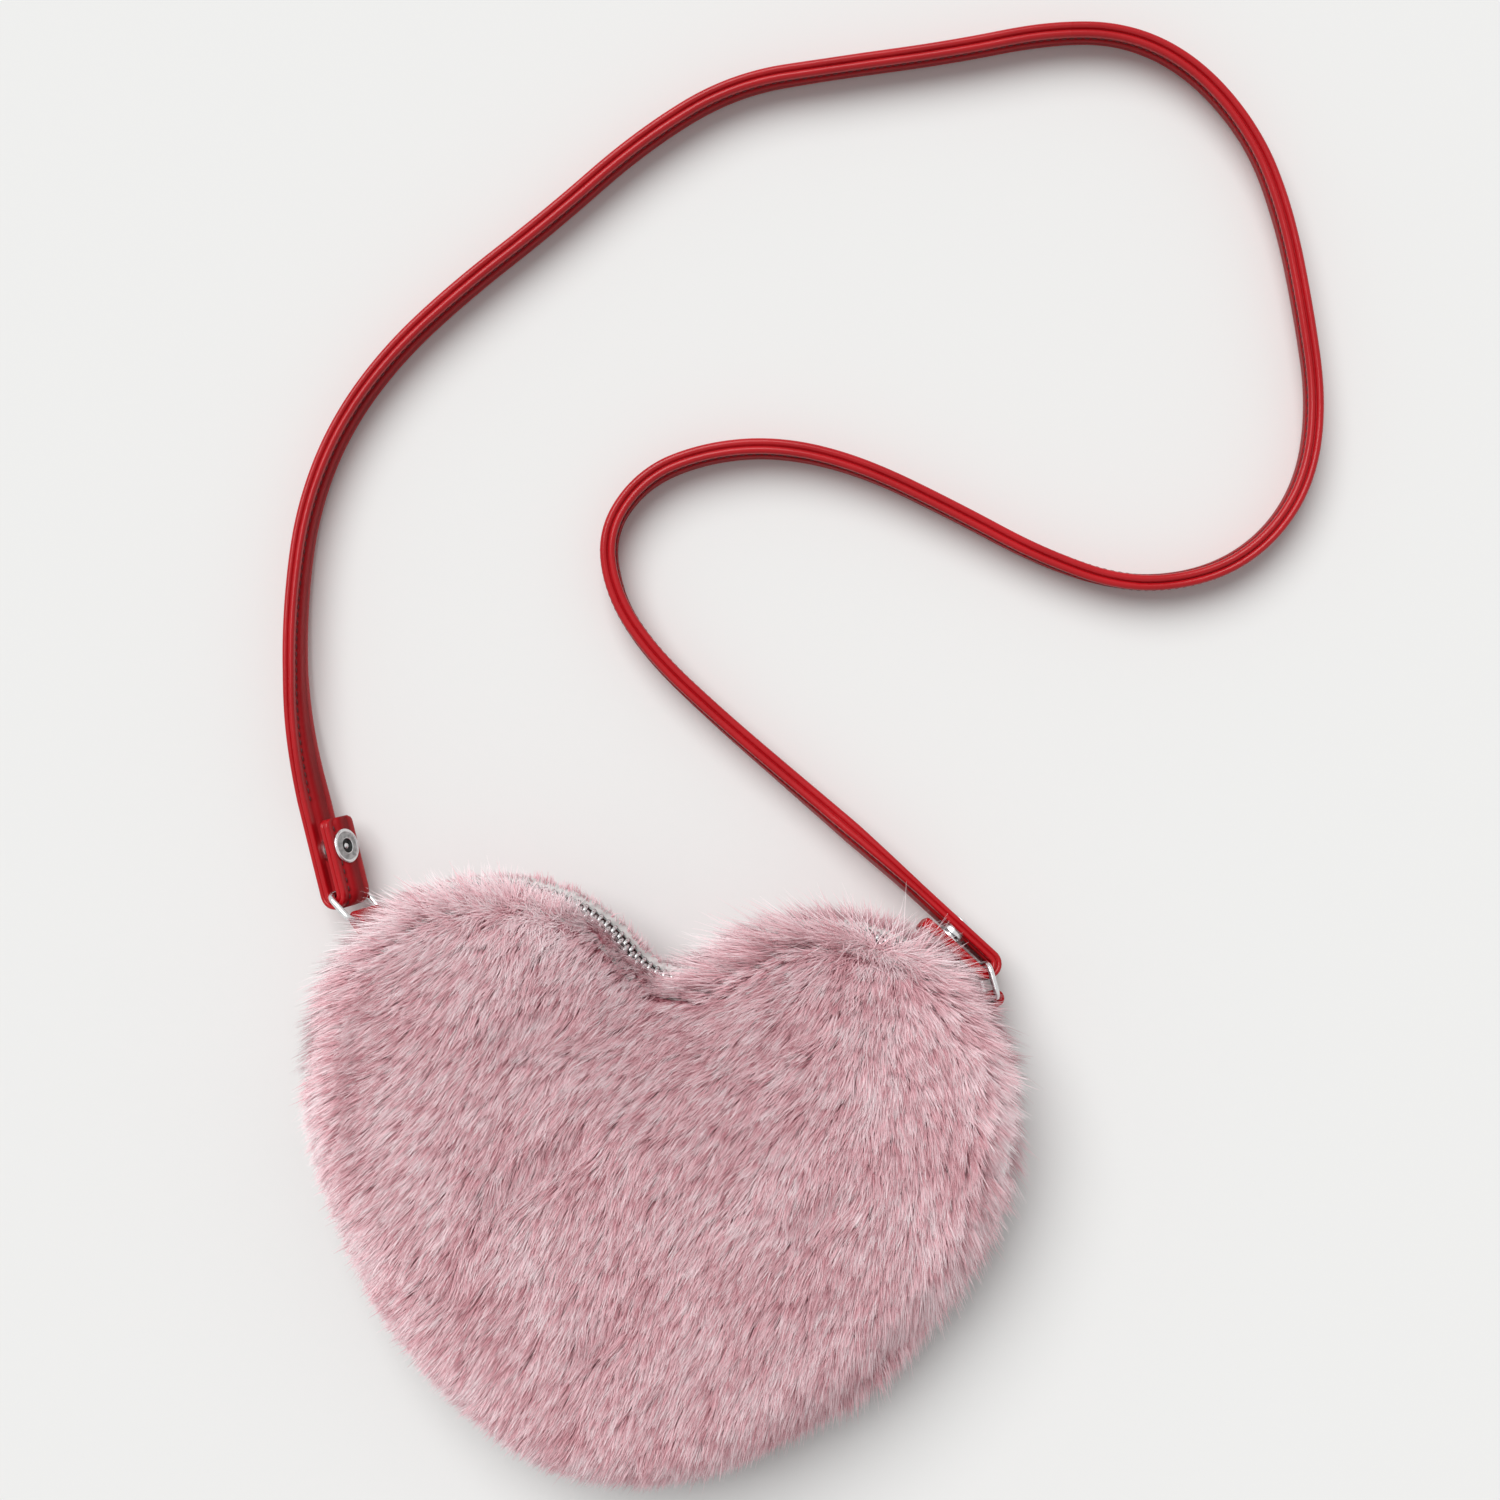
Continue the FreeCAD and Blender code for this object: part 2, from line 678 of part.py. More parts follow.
def fur_layers():
    """The pile fabric, the foam behind it and the lining, as shells between nested hearts."""
    outside = parted(pillow(0.0, 0.0, 0.0))
    behind_fur = pillow(pile_depth, pile_depth, pile_depth_below)
    side = pile_depth + foam_thickness
    below = pile_depth_below + foam_thickness_below
    behind_foam = pillow(side, side, below)
    pocket = pillow(side + lining_thickness, side + lining_thickness, below + lining_thickness)
    fur = outside.cut(behind_fur)
    groove = along_zip(rectangle(-channel_half_width, channel_half_width, -channel_depth, channel_reach),
                       channel_end, far_tape_end)
    slot_half = tape_thickness / 2 + tape_fit
    slot_front = chain_half_width + front_tape_width + tape_fit
    slot_back = chain_half_width + back_tape_width + tape_fit
    slot = along_zip(rectangle(-slot_back, slot_front, -slot_half, slot_half), tape_end, far_tape_end)
    cuts = [groove, slot, ends["right"].flap_room()]
    cuts += [end.tab(tab_room) for end in ends.values()]
    fur = fur.cut(cuts)
    foam = behind_fur.cut(behind_foam)
    lining = behind_foam.cut(pocket)
    front = {name: between(layer, front_seam_level, heart_height)
             for name, layer in (("fur_panel", fur), ("foam", foam), ("lining", lining))}
    pieces = {f"front_{name}": layer.cut(mouth_side()) for name, layer in front.items()}
    pieces.update({f"mouth_{name}": layer.common(mouth_side()) for name, layer in front.items()})
    pieces["side_fur_gusset"] = between(fur, back_seam_level, front_seam_level)
    pieces["back_fur_panel"] = between(fur, 0.0, back_seam_level)
    pieces["body_foam"] = between(foam, 0.0, front_seam_level)
    pieces["pocket_lining"] = between(lining, 0.0, front_seam_level)
    return pieces


def zip_pieces():
    half = tape_thickness / 2
    stop = block(-stop_length / 2, stop_length / 2, 0, chain_half_width, -tooth_depth / 2, tooth_depth / 2)
    stop_angle = slider_angle - (slider_length / 2 + stop_length / 2 + slider_room) / per_degree
    left_stop_angle = left_end_angle + (stop_length / 2 + tooth_pitch) / per_degree
    bite = block(-stop_length, stop_length, -tooth_bite, tooth_bite, -tooth_depth, tooth_depth)
    top_stops = [at_zip(half_stop.cut(bite), stop_angle)
                 for half_stop in (stop, stop.mirror(Vector(0, 0, 0), Vector(0, 1, 0)))]
    bottom = block(-stop_length / 2, stop_length / 2, -chain_half_width, chain_half_width,
                   -tooth_depth / 2, tooth_depth / 2)
    front_edge = chain_half_width + front_tape_width
    back_edge = chain_half_width + back_tape_width
    front_tape = along_zip(rectangle(chain_half_width, front_edge, -half, half), tape_end, far_tape_end)
    back_tape = along_zip(rectangle(-back_edge, -chain_half_width, -half, half), tape_end, far_tape_end)
    front_row = zip_row(1, 0.0)
    return {
        "zip_tape_front": front_tape.cut(mouth_side()),
        "mouth_zip_tape": front_tape.common(mouth_side()),
        "zip_tape_back": back_tape,
        "zip_teeth_front": Part.makeCompound([tooth for tooth, spot in front_row if not in_mouth(spot)]),
        "mouth_zip_teeth": Part.makeCompound([tooth for tooth, spot in front_row if in_mouth(spot)]),
        "zip_teeth_back": Part.makeCompound([tooth for tooth, spot in zip_row(-1, tooth_pitch / 2)]),
        "zip_top_stops": Part.makeCompound(top_stops),
        "zip_bottom_stop": at_zip(bottom, left_stop_angle, left_lobe),
        "zip_slider": at_zip(slider_body(), slider_angle),
        "zip_pull": at_zip(pull_tab(), slider_angle),
    }


def end_pieces(end):
    pieces = {
        "ring_tab": end.tab(), "ring": end.ring(), "strap_loop": end.loop(), "strap_flap": end.flap(),
        "snap_cap": end.cap(), "snap_socket": end.socket(), "snap_stud": end.stud(),
        "snap_eyelet": end.eyelet(),
    }
    return {f"{label}_{end.side}": piece for label, piece in pieces.items()}


def strap_pieces():
    pieces = {"strap_outer_ply": strap_ply(-1), "strap_inner_ply": strap_ply(1)}
    for end in ends.values():
        pieces[f"strap_lead_outer_{end.side}"] = lead_ply(end, -1)
        pieces[f"strap_lead_inner_{end.side}"] = lead_ply(end, 1)
    return pieces


nodes = {}
nodes.update(fur_layers())
nodes.update(zip_pieces())
for strap_end in ends.values():
    nodes.update(end_pieces(strap_end))
nodes.update(strap_pieces())

os.makedirs("parts", exist_ok=True)
for name, shape in nodes.items():
    shape.exportStep(f"parts/{name}.step")
    print(f"{name}: {len(shape.Solids)} solids, valid {shape.isValid()}, {shape.Volume:.0f} mm3")

print("strap arc radii:", " ".join(f"{radius:.0f}" for radius in route.radii))
flat_length = strap_length - sum(lead_length.values())
section_volume = flat_length * strap_width * ply_thickness
print(f"strap length {strap_length:.0f}, one ply by section {section_volume:.0f} mm3")
for side, end in ends.items():
    for label, point in (("bar", end.bar), ("bow", end.bow), ("end", end.end)):
        print(f"{side} {label}: {point.x:.3f} {point.y:.3f} {point.z:.3f}")
    corner = end.bow + end.out * loop_outside
    print(f"{side} flap corner: {corner.x:.3f} {corner.y:.3f} {corner.z:.3f}")
    print(f"{side} hinge axis: {-end.across.x:.5f} {-end.across.y:.5f} {-end.across.z:.5f}")
slider_frame = zip_frame(right_lobe, zip_radius, 1, slider_angle)
pull_point = slider_frame[0] + slider_frame[3] * pull_level()
print("pull pin:", pull_point, "axis", slider_frame[2])
print("mouth fold:", fold_point, "axis", mouth_heading.cross(UP))
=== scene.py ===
import math

import bmesh
import bpy
import numpy as np
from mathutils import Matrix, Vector


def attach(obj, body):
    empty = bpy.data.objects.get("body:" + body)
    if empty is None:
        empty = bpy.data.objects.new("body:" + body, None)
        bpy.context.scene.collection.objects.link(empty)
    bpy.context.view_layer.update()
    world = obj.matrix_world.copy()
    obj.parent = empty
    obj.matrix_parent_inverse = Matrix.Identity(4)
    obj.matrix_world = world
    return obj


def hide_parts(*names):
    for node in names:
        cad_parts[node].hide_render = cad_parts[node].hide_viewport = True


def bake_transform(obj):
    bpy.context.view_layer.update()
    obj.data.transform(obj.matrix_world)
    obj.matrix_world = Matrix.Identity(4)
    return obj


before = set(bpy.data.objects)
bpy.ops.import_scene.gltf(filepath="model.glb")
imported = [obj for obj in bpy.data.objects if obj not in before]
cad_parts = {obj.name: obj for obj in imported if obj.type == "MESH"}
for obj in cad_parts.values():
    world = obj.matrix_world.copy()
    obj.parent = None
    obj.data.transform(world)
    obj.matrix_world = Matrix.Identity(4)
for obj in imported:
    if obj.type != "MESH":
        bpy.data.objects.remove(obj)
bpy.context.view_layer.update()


# Foam and lining
# A soft foam pad backs the pile cloth all round, and a thin satin bag is glued inside it.
# Both stay out of sight until the mouth folds back.

class Wire:
    """One output in a node tree. Arithmetic on wires adds Math nodes to the tree."""

    def __init__(self, tree, socket=None):
        self.tree, self.socket = tree, socket

    def node(self, kind, inputs=None, out=0, **settings):
        """A new node in the same tree, its inputs given as wires or as plain values."""
        made = self.tree.nodes.new(kind)
        for name, value in settings.items():
            setattr(made, name, value)
        for key, value in (inputs or {}).items():
            if isinstance(value, Wire):
                value.to(made.inputs[key])
            else:
                made.inputs[key].default_value = value
        return Wire(self.tree, made.outputs[out])

    def other(self, out):
        """Another output of the same node."""
        return Wire(self.tree, self.socket.node.outputs[out])

    def to(self, socket):
        """Leads this output into a socket."""
        self.tree.links.new(self.socket, socket)

    def ramp(self, *stops):
        """A colour that follows this value, through stops of (value, colour)."""
        colours = self.node("ShaderNodeValToRGB", {0: self})
        marks = colours.socket.node.color_ramp.elements
        for index, (position, colour) in enumerate(stops):
            mark = marks[index] if index < 2 else marks.new(position)
            mark.position, mark.color = position, (*colour, 1.0)
        return colours

    def bump(self, strength, distance):
        """A surface that rises with this value."""
        return self.node("ShaderNodeBump", {"Height": self, "Strength": strength, "Distance": distance})

    def maths(self, operation, first, second):
        return self.node("ShaderNodeMath", {0: first, 1: second}, operation=operation)

    def __add__(self, other):
        return self.maths("ADD", self, other)

    __radd__ = __add__

    def __sub__(self, other):
        return self.maths("SUBTRACT", self, other)

    def __rsub__(self, other):
        return self.maths("SUBTRACT", other, self)

    def __mul__(self, other):
        return self.maths("MULTIPLY", self, other)

    def __rtruediv__(self, other):
        return self.maths("DIVIDE", other, self)

    def __pow__(self, other):
        return self.maths("POWER", self, other)


def finish(name, values):
    """A material with these plain values, its shader, and the start of its node tree."""
    material = bpy.data.materials.new(name)
    material.use_nodes = True
    shader = material.node_tree.nodes["Principled BSDF"]
    for socket, value in values.items():
        shader.inputs[socket].default_value = value
    return material, shader, Wire(material.node_tree)


def dress(material, *names):
    """Gives the frame's own nodes a material."""
    for name in names:
        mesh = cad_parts[name].data
        mesh.materials.clear()
        mesh.materials.append(material)


foam_pad, shader, start = finish("foam pad", {"Roughness": 0.95, "Specular IOR Level": 0.2})
place = start.node("ShaderNodeTexCoord", out="Object")
cells = start.node("ShaderNodeTexVoronoi", {"Vector": place, "Scale": 900.0})
cells.ramp((0.0, (0.62, 0.58, 0.5)), (0.6, (0.86, 0.83, 0.75))).to(shader.inputs["Base Color"])
cells.bump(0.4, 0.0006).to(shader.inputs["Normal"])
dress(foam_pad, "front_foam", "mouth_foam", "body_foam")

satin, shader, start = finish("satin lining", {"Roughness": 0.45, "Sheen Weight": 0.3})
place = start.node("ShaderNodeTexCoord", out="Object")
warp, weft = (start.node("ShaderNodeTexWave", {"Vector": place, "Scale": 260.0, "Distortion": 0.6},
                         bands_direction=way) for way in "XY")
weave = warp * 0.6 + weft * 0.4
weave.ramp((0.0, (0.42, 0.2, 0.23)), (1.0, (0.6, 0.32, 0.36))).to(shader.inputs["Base Color"])
weave.bump(0.3, 0.0002).to(shader.inputs["Normal"])
dress(satin, "front_lining", "mouth_lining", "pocket_lining")


# Pile cloth
# Three panels of pink imitation fur, sewn together inside out and turned over the foam pad.
# The pile is dense and soft. It is combed down the front and falls outwards over the edges.

lobe_radius, lobe_x, lobe_y = 0.052, 0.046, 0.0315
tip_radius, tip_y = 0.067, -0.0165
flank_radius, flank_x, flank_y = 0.124, -0.02595, 0.03425
notch_radius, notch_y = 0.013, 0.07742
notch_turn, side_turn, tip_turn = 135.06, -2.19, -62.92
widest_level, front_rise, front_shoulder, back_shoulder = 0.017, 0.027, 0.022, 0.020
seam_level, zip_front_edge, zip_back_edge, zip_foot = 0.030, 0.0335, 0.0262, 0.021
backing_depth, seam_depth, backing_mesh, crown_margin = 0.0045, 0.0008, 0.003, 0.0012
zip_band, zip_fade, flare_foot, flare_run = 0.003, 1.5, -0.022, 0.032
ring_step, arc_steps = 10, 40
fold_heading, fold_reach = math.radians(64.0), 0.006
fold_way = Vector((math.cos(fold_heading), math.sin(fold_heading), 0.0))
fold_place = Vector((0.05902, 0.05820, 0.044))
up, above_all = Vector((0, 0, 1)), 0.1


def put(name, data):
    """A new object in the scene."""
    made = bpy.data.objects.new(name, data)
    bpy.context.scene.collection.objects.link(made)
    return made


def settled(source):
    """The plain mesh that an object's curve or modifiers give. The object itself is taken away."""
    mesh = bpy.data.meshes.new_from_object(source.evaluated_get(bpy.context.evaluated_depsgraph_get()))
    bpy.data.objects.remove(source)
    return mesh


def wrap(shape, rings):
    """Bands of faces between one ring of points and the next."""
    return [[shape.faces.new((one[k - 1], one[k], two[k], two[k - 1])) for k in range(len(one))]
            for one, two in zip(rings, rings[1:])]


def heart_ring(inset):
    """Points round the heart's outline, drawn in by an inset."""
    lobe, flank = lobe_radius - inset, flank_radius - inset
    arcs = [
        ((lobe_x, lobe_y), lobe, side_turn, notch_turn),
        ((0, notch_y), notch_radius + inset, notch_turn - 180, -notch_turn),
        ((-lobe_x, lobe_y), lobe, 180 - notch_turn, 180 - side_turn),
        ((-flank_x, flank_y), flank, 180 - side_turn, 180 - tip_turn),
        ((0, tip_y), tip_radius - inset, -180 - tip_turn, tip_turn),
        ((flank_x, flank_y), flank, tip_turn, side_turn),
    ]
    points = []
    for (x, y), radius, first, last in arcs:
        for k in range(arc_steps):
            turn = math.radians(first + (last - first) * k / arc_steps)
            points.append((x + radius * math.cos(turn), y + radius * math.sin(turn)))
    return points


def front_level(x, y):
    """How high the front panel's own surface lies over a place."""
    levels = []
    for name in ("front_fur_panel", "mouth_fur_panel"):
        hit, spot, _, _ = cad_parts[name].ray_cast(Vector((x, y, above_all)), -up)
        if hit:
            levels.append(spot.z)
    return max(levels, default=0.0)


def stuffed_heart():
    """The backing cloth as one closed, evenly meshed pillow, with the front's crown and furrows."""
    heart = bmesh.new()
    rings = []
    for turn in range(-90, 91, ring_step):
        tilt = math.radians(turn)
        shoulder = back_shoulder if turn < 0 else front_shoulder
        rise = (widest_level if turn < 0 else front_rise) - backing_depth
        inset = shoulder - (shoulder - backing_depth) * math.cos(tilt)
        level = widest_level + rise * math.sin(tilt)
        rings.append([heart.verts.new((x, y, level)) for x, y in heart_ring(inset)])
    wrap(heart, rings)
    heart.faces.new(list(reversed(rings[0])))
    heart.faces.new(rings[-1])
    mesh = bpy.data.meshes.new("stuffed heart")
    heart.to_mesh(mesh)
    pillow = put("stuffed heart", mesh)
    even = pillow.modifiers.new("even mesh", "REMESH")
    even.mode, even.voxel_size = "VOXEL", backing_mesh
    smooth = pillow.modifiers.new("smooth", "SMOOTH")
    smooth.factor, smooth.iterations = 0.5, 3
    cloth = settled(pillow)
    top = widest_level + front_rise
    for vertex in cloth.vertices:
        spot = vertex.co
        if spot.z > top - backing_depth - crown_margin:
            spot.z += max(front_level(spot.x, spot.y) - top, 0.0)
        elif spot.y > flare_foot:
            from_zip = max(zip_back_edge - spot.z, spot.z - zip_front_edge, 0.0)
            share = min(1.0, max(0.0, zip_fade - from_zip / zip_band))
            share *= min(1.0, (spot.y - flare_foot) / flare_run)
            vertex.co = spot + vertex.normal * ((backing_depth - seam_depth) * share)
    return cloth


def cut_panel(pillow, front):
    """The part of the pillow above the seam, or below it, with a gap where the zip is sewn in."""
    panel = bmesh.new()
    panel.from_mesh(pillow)
    edge = zip_front_edge if front else zip_back_edge
    for level, above, below in ((seam_level, not front, front), (edge, False, False)):
        bmesh.ops.bisect_plane(panel, geom=panel.verts[:] + panel.edges[:] + panel.faces[:],
                               plane_co=(0, 0, level), plane_no=up,
                               clear_outer=above, clear_inner=below)
    gap = [face for face in panel.faces if face.calc_center_median().y > zip_foot
           and (face.calc_center_median().z < edge) == front]
    bmesh.ops.delete(panel, geom=gap, context="FACES")
    mesh = bpy.data.meshes.new("front backing" if front else "body backing")
    panel.to_mesh(mesh)
    return mesh


# Strokes of the comb over the front: a place, and the way the pile lies there in degrees
comb_strokes = [
    (-0.092, 0.043, 208), (-0.089, 0.063, 196), (-0.077, 0.074, 168), (-0.064, 0.08, 135),
    (-0.051, 0.083, 105), (-0.034, 0.081, 86), (-0.042, 0.064, 263), (-0.056, 0.062, 248),
    (-0.066, 0.058, 233), (-0.077, 0.054, 218), (-0.051, 0.049, 253), (-0.061, 0.037, 243),
    (-0.077, 0.034, 223), (-0.086, 0.022, 216), (-0.039, 0.034, 248), (-0.03, 0.052, 243),
    (-0.018, 0.042, 223), (-0.026, 0.066, 233), (-0.009, 0.061, 230), (-0.006, 0.067, 215),
    (0.004, 0.069, 200), (0.013, 0.072, 172), (0.007, 0.059, 223), (0.023, 0.064, 213),
    (0.01, 0.041, 223), (-0.002, 0.028, 228), (0.025, 0.048, 220), (0.038, 0.036, 230),
    (0.012, 0.022, 234), (-0.007, 0.003, 258), (-0.02, 0.015, 246), (-0.035, 0.01, 248),
    (-0.052, 0.013, 246), (-0.069, 0.014, 233), (-0.081, 0.004, 226), (0.018, 0.08, 152),
    (0.03, 0.088, 135), (0.044, 0.091, 112), (0.058, 0.089, 78), (0.069, 0.084, 50),
    (0.078, 0.077, 25), (0.085, 0.067, 350), (0.091, 0.051, 318), (0.092, 0.035, 300),
    (0.072, 0.063, 318), (0.068, 0.051, 293), (0.056, 0.063, 258), (0.042, 0.061, 243),
    (0.03, 0.071, 216), (0.055, 0.047, 263), (0.075, 0.038, 284), (0.065, 0.032, 270),
    (0.049, 0.035, 248), (0.031, 0.043, 233), (-0.079, -0.018, 223), (-0.064, -0.021, 243),
    (-0.042, -0.018, 253), (-0.021, -0.015, 256), (-0.004, -0.021, 256), (-0.047, -0.046, 238),
    (-0.062, -0.043, 221), (-0.026, -0.057, 246), (-0.042, -0.062, 226), (-0.004, -0.065, 248),
    (-0.013, -0.073, 240), (0.014, 0.008, 243), (0.033, -0.008, 243), (0.055, 0.008, 248),
    (0.076, 0.017, 270), (0.09, 0.013, 284), (0.092, -0.003, 284), (0.071, -0.011, 258),
    (0.051, -0.025, 246), (0.031, -0.036, 243), (0.023, -0.056, 250), (0.049, -0.047, 248),
    (0.069, -0.033, 258), (0.083, -0.021, 273), (0.045, -0.058, 253), (0.03, -0.07, 258),
    (0.063, -0.051, 255), (0.006, -0.036, 252),
]
comb_blur, comb_falloff, lobe_top = 0.004, 1.6, 0.05
# Zones of the pile: along each axis that bounds one, where it begins and where it is full
pile_zones = {
    "left lobe": (("x", -0.08, -0.066), ("x", 0.008, -0.004)),
    "right lobe": (("x", -0.002, 0.012), ("x", 0.078, 0.062)),
    "notch": (("x", -0.02, -0.006), ("x", 0.024, 0.008)),
    "zip in sight": (("x", -0.051, -0.035), ("x", 0.004, -0.006)),
    "front edge": (("z", 0.0368, 0.0342), ("y", -0.034, -0.018)),
    "crest": (("y", 0.05, 0.066),),
    "zip pull": (("x", 0.07, 0.08), ("y", 0.062, 0.044), ("y", -0.03, 0.006)),
    "left flank": (("x", -0.06, -0.075), ("y", 0.045, 0.03)),
    "left cheek": (("x", -0.06, -0.075), ("y", 0.035, 0.05)),
    "under": (("z", 0.009, 0.003),),
    "seam": (("z", 0.020, 0.024),),
    "right flank": (("x", 0.03, 0.05), ("y", 0.04, 0.02), ("y", -0.06, -0.04)),
    "foot": (("y", 0.02, 0.0),),
}
pile_length, overhang_length, seam_length, side_length, under_length = 0.0085, 0.018, 0.0086, 0.0085, 0.005
pile_lift, overhang_lift, seam_lift, side_lift, under_lift = 0.64, 0.32, 0.5, 0.68, 0.27
gusset_rise, body_fall = 0.35, 0.5


def ease(values, first, last):
    """0 before the first value, 1 after the last one, and a smooth rise between them."""
    share = np.clip((values - first) / (last - first), 0.0, 1.0)
    return share * share * (3 - 2 * share)


def comb(mesh, front):
    """Stores on the backing the pile's way, lift and reach, how dense and ruffled it is, and how pale: partly
    painted light.
    """
    count = len(mesh.vertices)
    spots, normals = np.empty(count * 3), np.empty(count * 3)
    mesh.vertices.foreach_get("co", spots)
    mesh.vertices.foreach_get("normal", normals)
    spots, normals = spots.reshape(-1, 3), normals.reshape(-1, 3)
    _, y, z = spots.T

    def zone(name):
        return np.prod([ease(spots[:, "xyz".index(axis)], begins, full)
                        for axis, begins, full in pile_zones[name]], axis=0)

    strokes = np.array(comb_strokes)
    turns = np.radians(strokes[:, 2])
    apart = np.linalg.norm(spots[:, None, :2] - strokes[None, :, :2], axis=2)
    weight = 1.0 / (apart**2 + comb_blur**2) ** comb_falloff
    way = np.stack([weight @ np.cos(turns), weight @ np.sin(turns), np.zeros(count)], axis=1)
    parting = 1.0 - np.linalg.norm(way, axis=1) / weight.sum(axis=1)
    way /= np.linalg.norm(way, axis=1, keepdims=True)
    outward = normals * (1.0, 1.0, 0.0)
    outward /= np.linalg.norm(outward, axis=1, keepdims=True) + 1e-9
    top = y > lobe_top
    left_top, right_top = zone("left lobe") * top, zone("right lobe") * top

    # The share before a zone says how much the pile changes there
    if front:
        near, shows, notch = zone("front edge"), zone("zip in sight") * top, zone("notch") * top
        hang, seam = near * (1.0 - shows), near * shows
        crest = zone("crest") * (1.0 - notch)
        by_pull = near * zone("zip pull")
        steep = ease(normals[:, 2], 1.0, 0.2)
        outwards = 0.3 * steep + (0.2 + 0.6 * crest) * hang + 0.6 * seam + 0.75 * by_pull
        way += outward * outwards[:, None]
        falls = 1.0 + right_top + 0.05 * left_top + 0.4 * zone("left cheek")
        falls = overhang_length * (falls - 0.35 * notch - 0.2 * zone("left flank") - 0.18 * by_pull)
        reach = pile_length + (seam_length - pile_length) * seam + (falls - pile_length) * hang**2
        lift = pile_lift + (seam_lift - pile_lift) * seam + (overhang_lift - pile_lift) * hang
        lift = lift * (1.0 - 0.4 * parting - 0.22 * hang * right_top) + 0.1 * by_pull
        # Paler at the front edge, by the zip, at partings and on the left lobe's crest: painted light. Less
        # pale on the right lobe's overhang.
        pale_and_painted_light = near + parting + 0.4 * left_top * crest - 0.5 * right_top * hang
        crowd = 1.0 + 1.5 * by_pull
    else:
        under, seam, flank = zone("under"), zone("seam") * (y > zip_foot), zone("right flank")
        foot = zone("foot") * (1.0 - flank)
        way[:, 2] += np.where((y > zip_foot) & (z > widest_level), gusset_rise, -body_fall)
        way += outward * (0.5 * flank)[:, None]
        reach = side_length + (under_length - side_length) * under + (1.2 * seam_length - side_length) * seam
        reach *= (1.0 - 0.55 * left_top * (1.0 - under)) * (1.0 + 0.5 * flank - 0.06 * foot)
        lift = side_lift + (under_lift - side_lift) * under
        # Paler by the zip: painted light.
        pale_and_painted_light = seam
        crowd = 1.0 - 0.75 * under
    way -= normals * np.sum(way * normals, axis=1, keepdims=True)
    way /= np.linalg.norm(way, axis=1, keepdims=True) + 1e-9
    mesh.attributes.new("way", "FLOAT_VECTOR", "POINT").data.foreach_set("vector", way.ravel())
    fields = {"lift": lift, "reach": reach, "crowd": crowd, "pale_and_painted_light": pale_and_painted_light, "ruffle": parting}
    for name, values in fields.items():
        mesh.attributes.new(name, "FLOAT", "POINT").data.foreach_set("value", values)


# The pile's map holds a tint across and the depth from root to tip upwards
root_tint, patch_margin, patch_width = 0.3, 0.02, 0.016


def paint_backing(mesh):
    """A small patch of the pile's root colour, darkened by painted shade, for every face of the backing."""
    layer = mesh.uv_layers.new(name="OFBake")
    for face in mesh.polygons:
        for k, corner in enumerate(face.loop_indices):
            layer.data[corner].uv = (root_tint + patch_margin * (k in (1, 2)), patch_margin * (1 + (k > 1)))


def blank_tree(name, result, inputs):
    """A Geometry Nodes tree with named inputs: its start, the inputs as wires and its result's socket."""
    tree = bpy.data.node_groups.new(name, "GeometryNodeTree")
    for label, kind in inputs.items():
        tree.interface.new_socket(name=label, in_out="INPUT", socket_type=f"NodeSocket{kind}")
    tree.interface.new_socket(name=result, in_out="OUTPUT", socket_type="NodeSocketGeometry")
    given, end = tree.nodes.new("NodeGroupInput"), tree.nodes.new("NodeGroupOutput")
    return Wire(tree), [Wire(tree, given.outputs[k]) for k in range(len(inputs))], end.inputs[0]


def clad(geometry, material, end):
    """Ends a tree with smooth faces of one material."""
    smooth = geometry.node("GeometryNodeSetShadeSmooth", {"Geometry": geometry})
    smooth.node("GeometryNodeSetMaterial", {"Geometry": smooth, "Material": material}).to(end)
    return geometry.tree


# One strand from root to tip: how it leans, rises and narrows
lean_low, lean_high, rise_low, rise_loss, narrow_power, narrow_share = 0.12, 0.4, 1.3, 0.4, 1.6, 0.88
# How strands differ, as shares of the size that is given, and how many are longer guard hairs
length_spread, width_spread, lift_spread = (0.66, 1.14), (0.6, 1.4), (0.72, 1.25)
guard_from, guard_extra = 0.975, 0.3
sway_scale, sway_share, stray_share, ruffled_stray = 110.0, 0.8, 0.2, 1.2
lock_pull, tuft_pull, pull_power = 0.5, 0.18, 1.5
tint_middle, lock_tint, strand_tint, pale_and_painted_light_tint = 0.47, 0.8, 0.28, 0.22
blotch_scale, blotch_tint = 60.0, 0.8
far_below, table_gap = -9.0, 0.0002


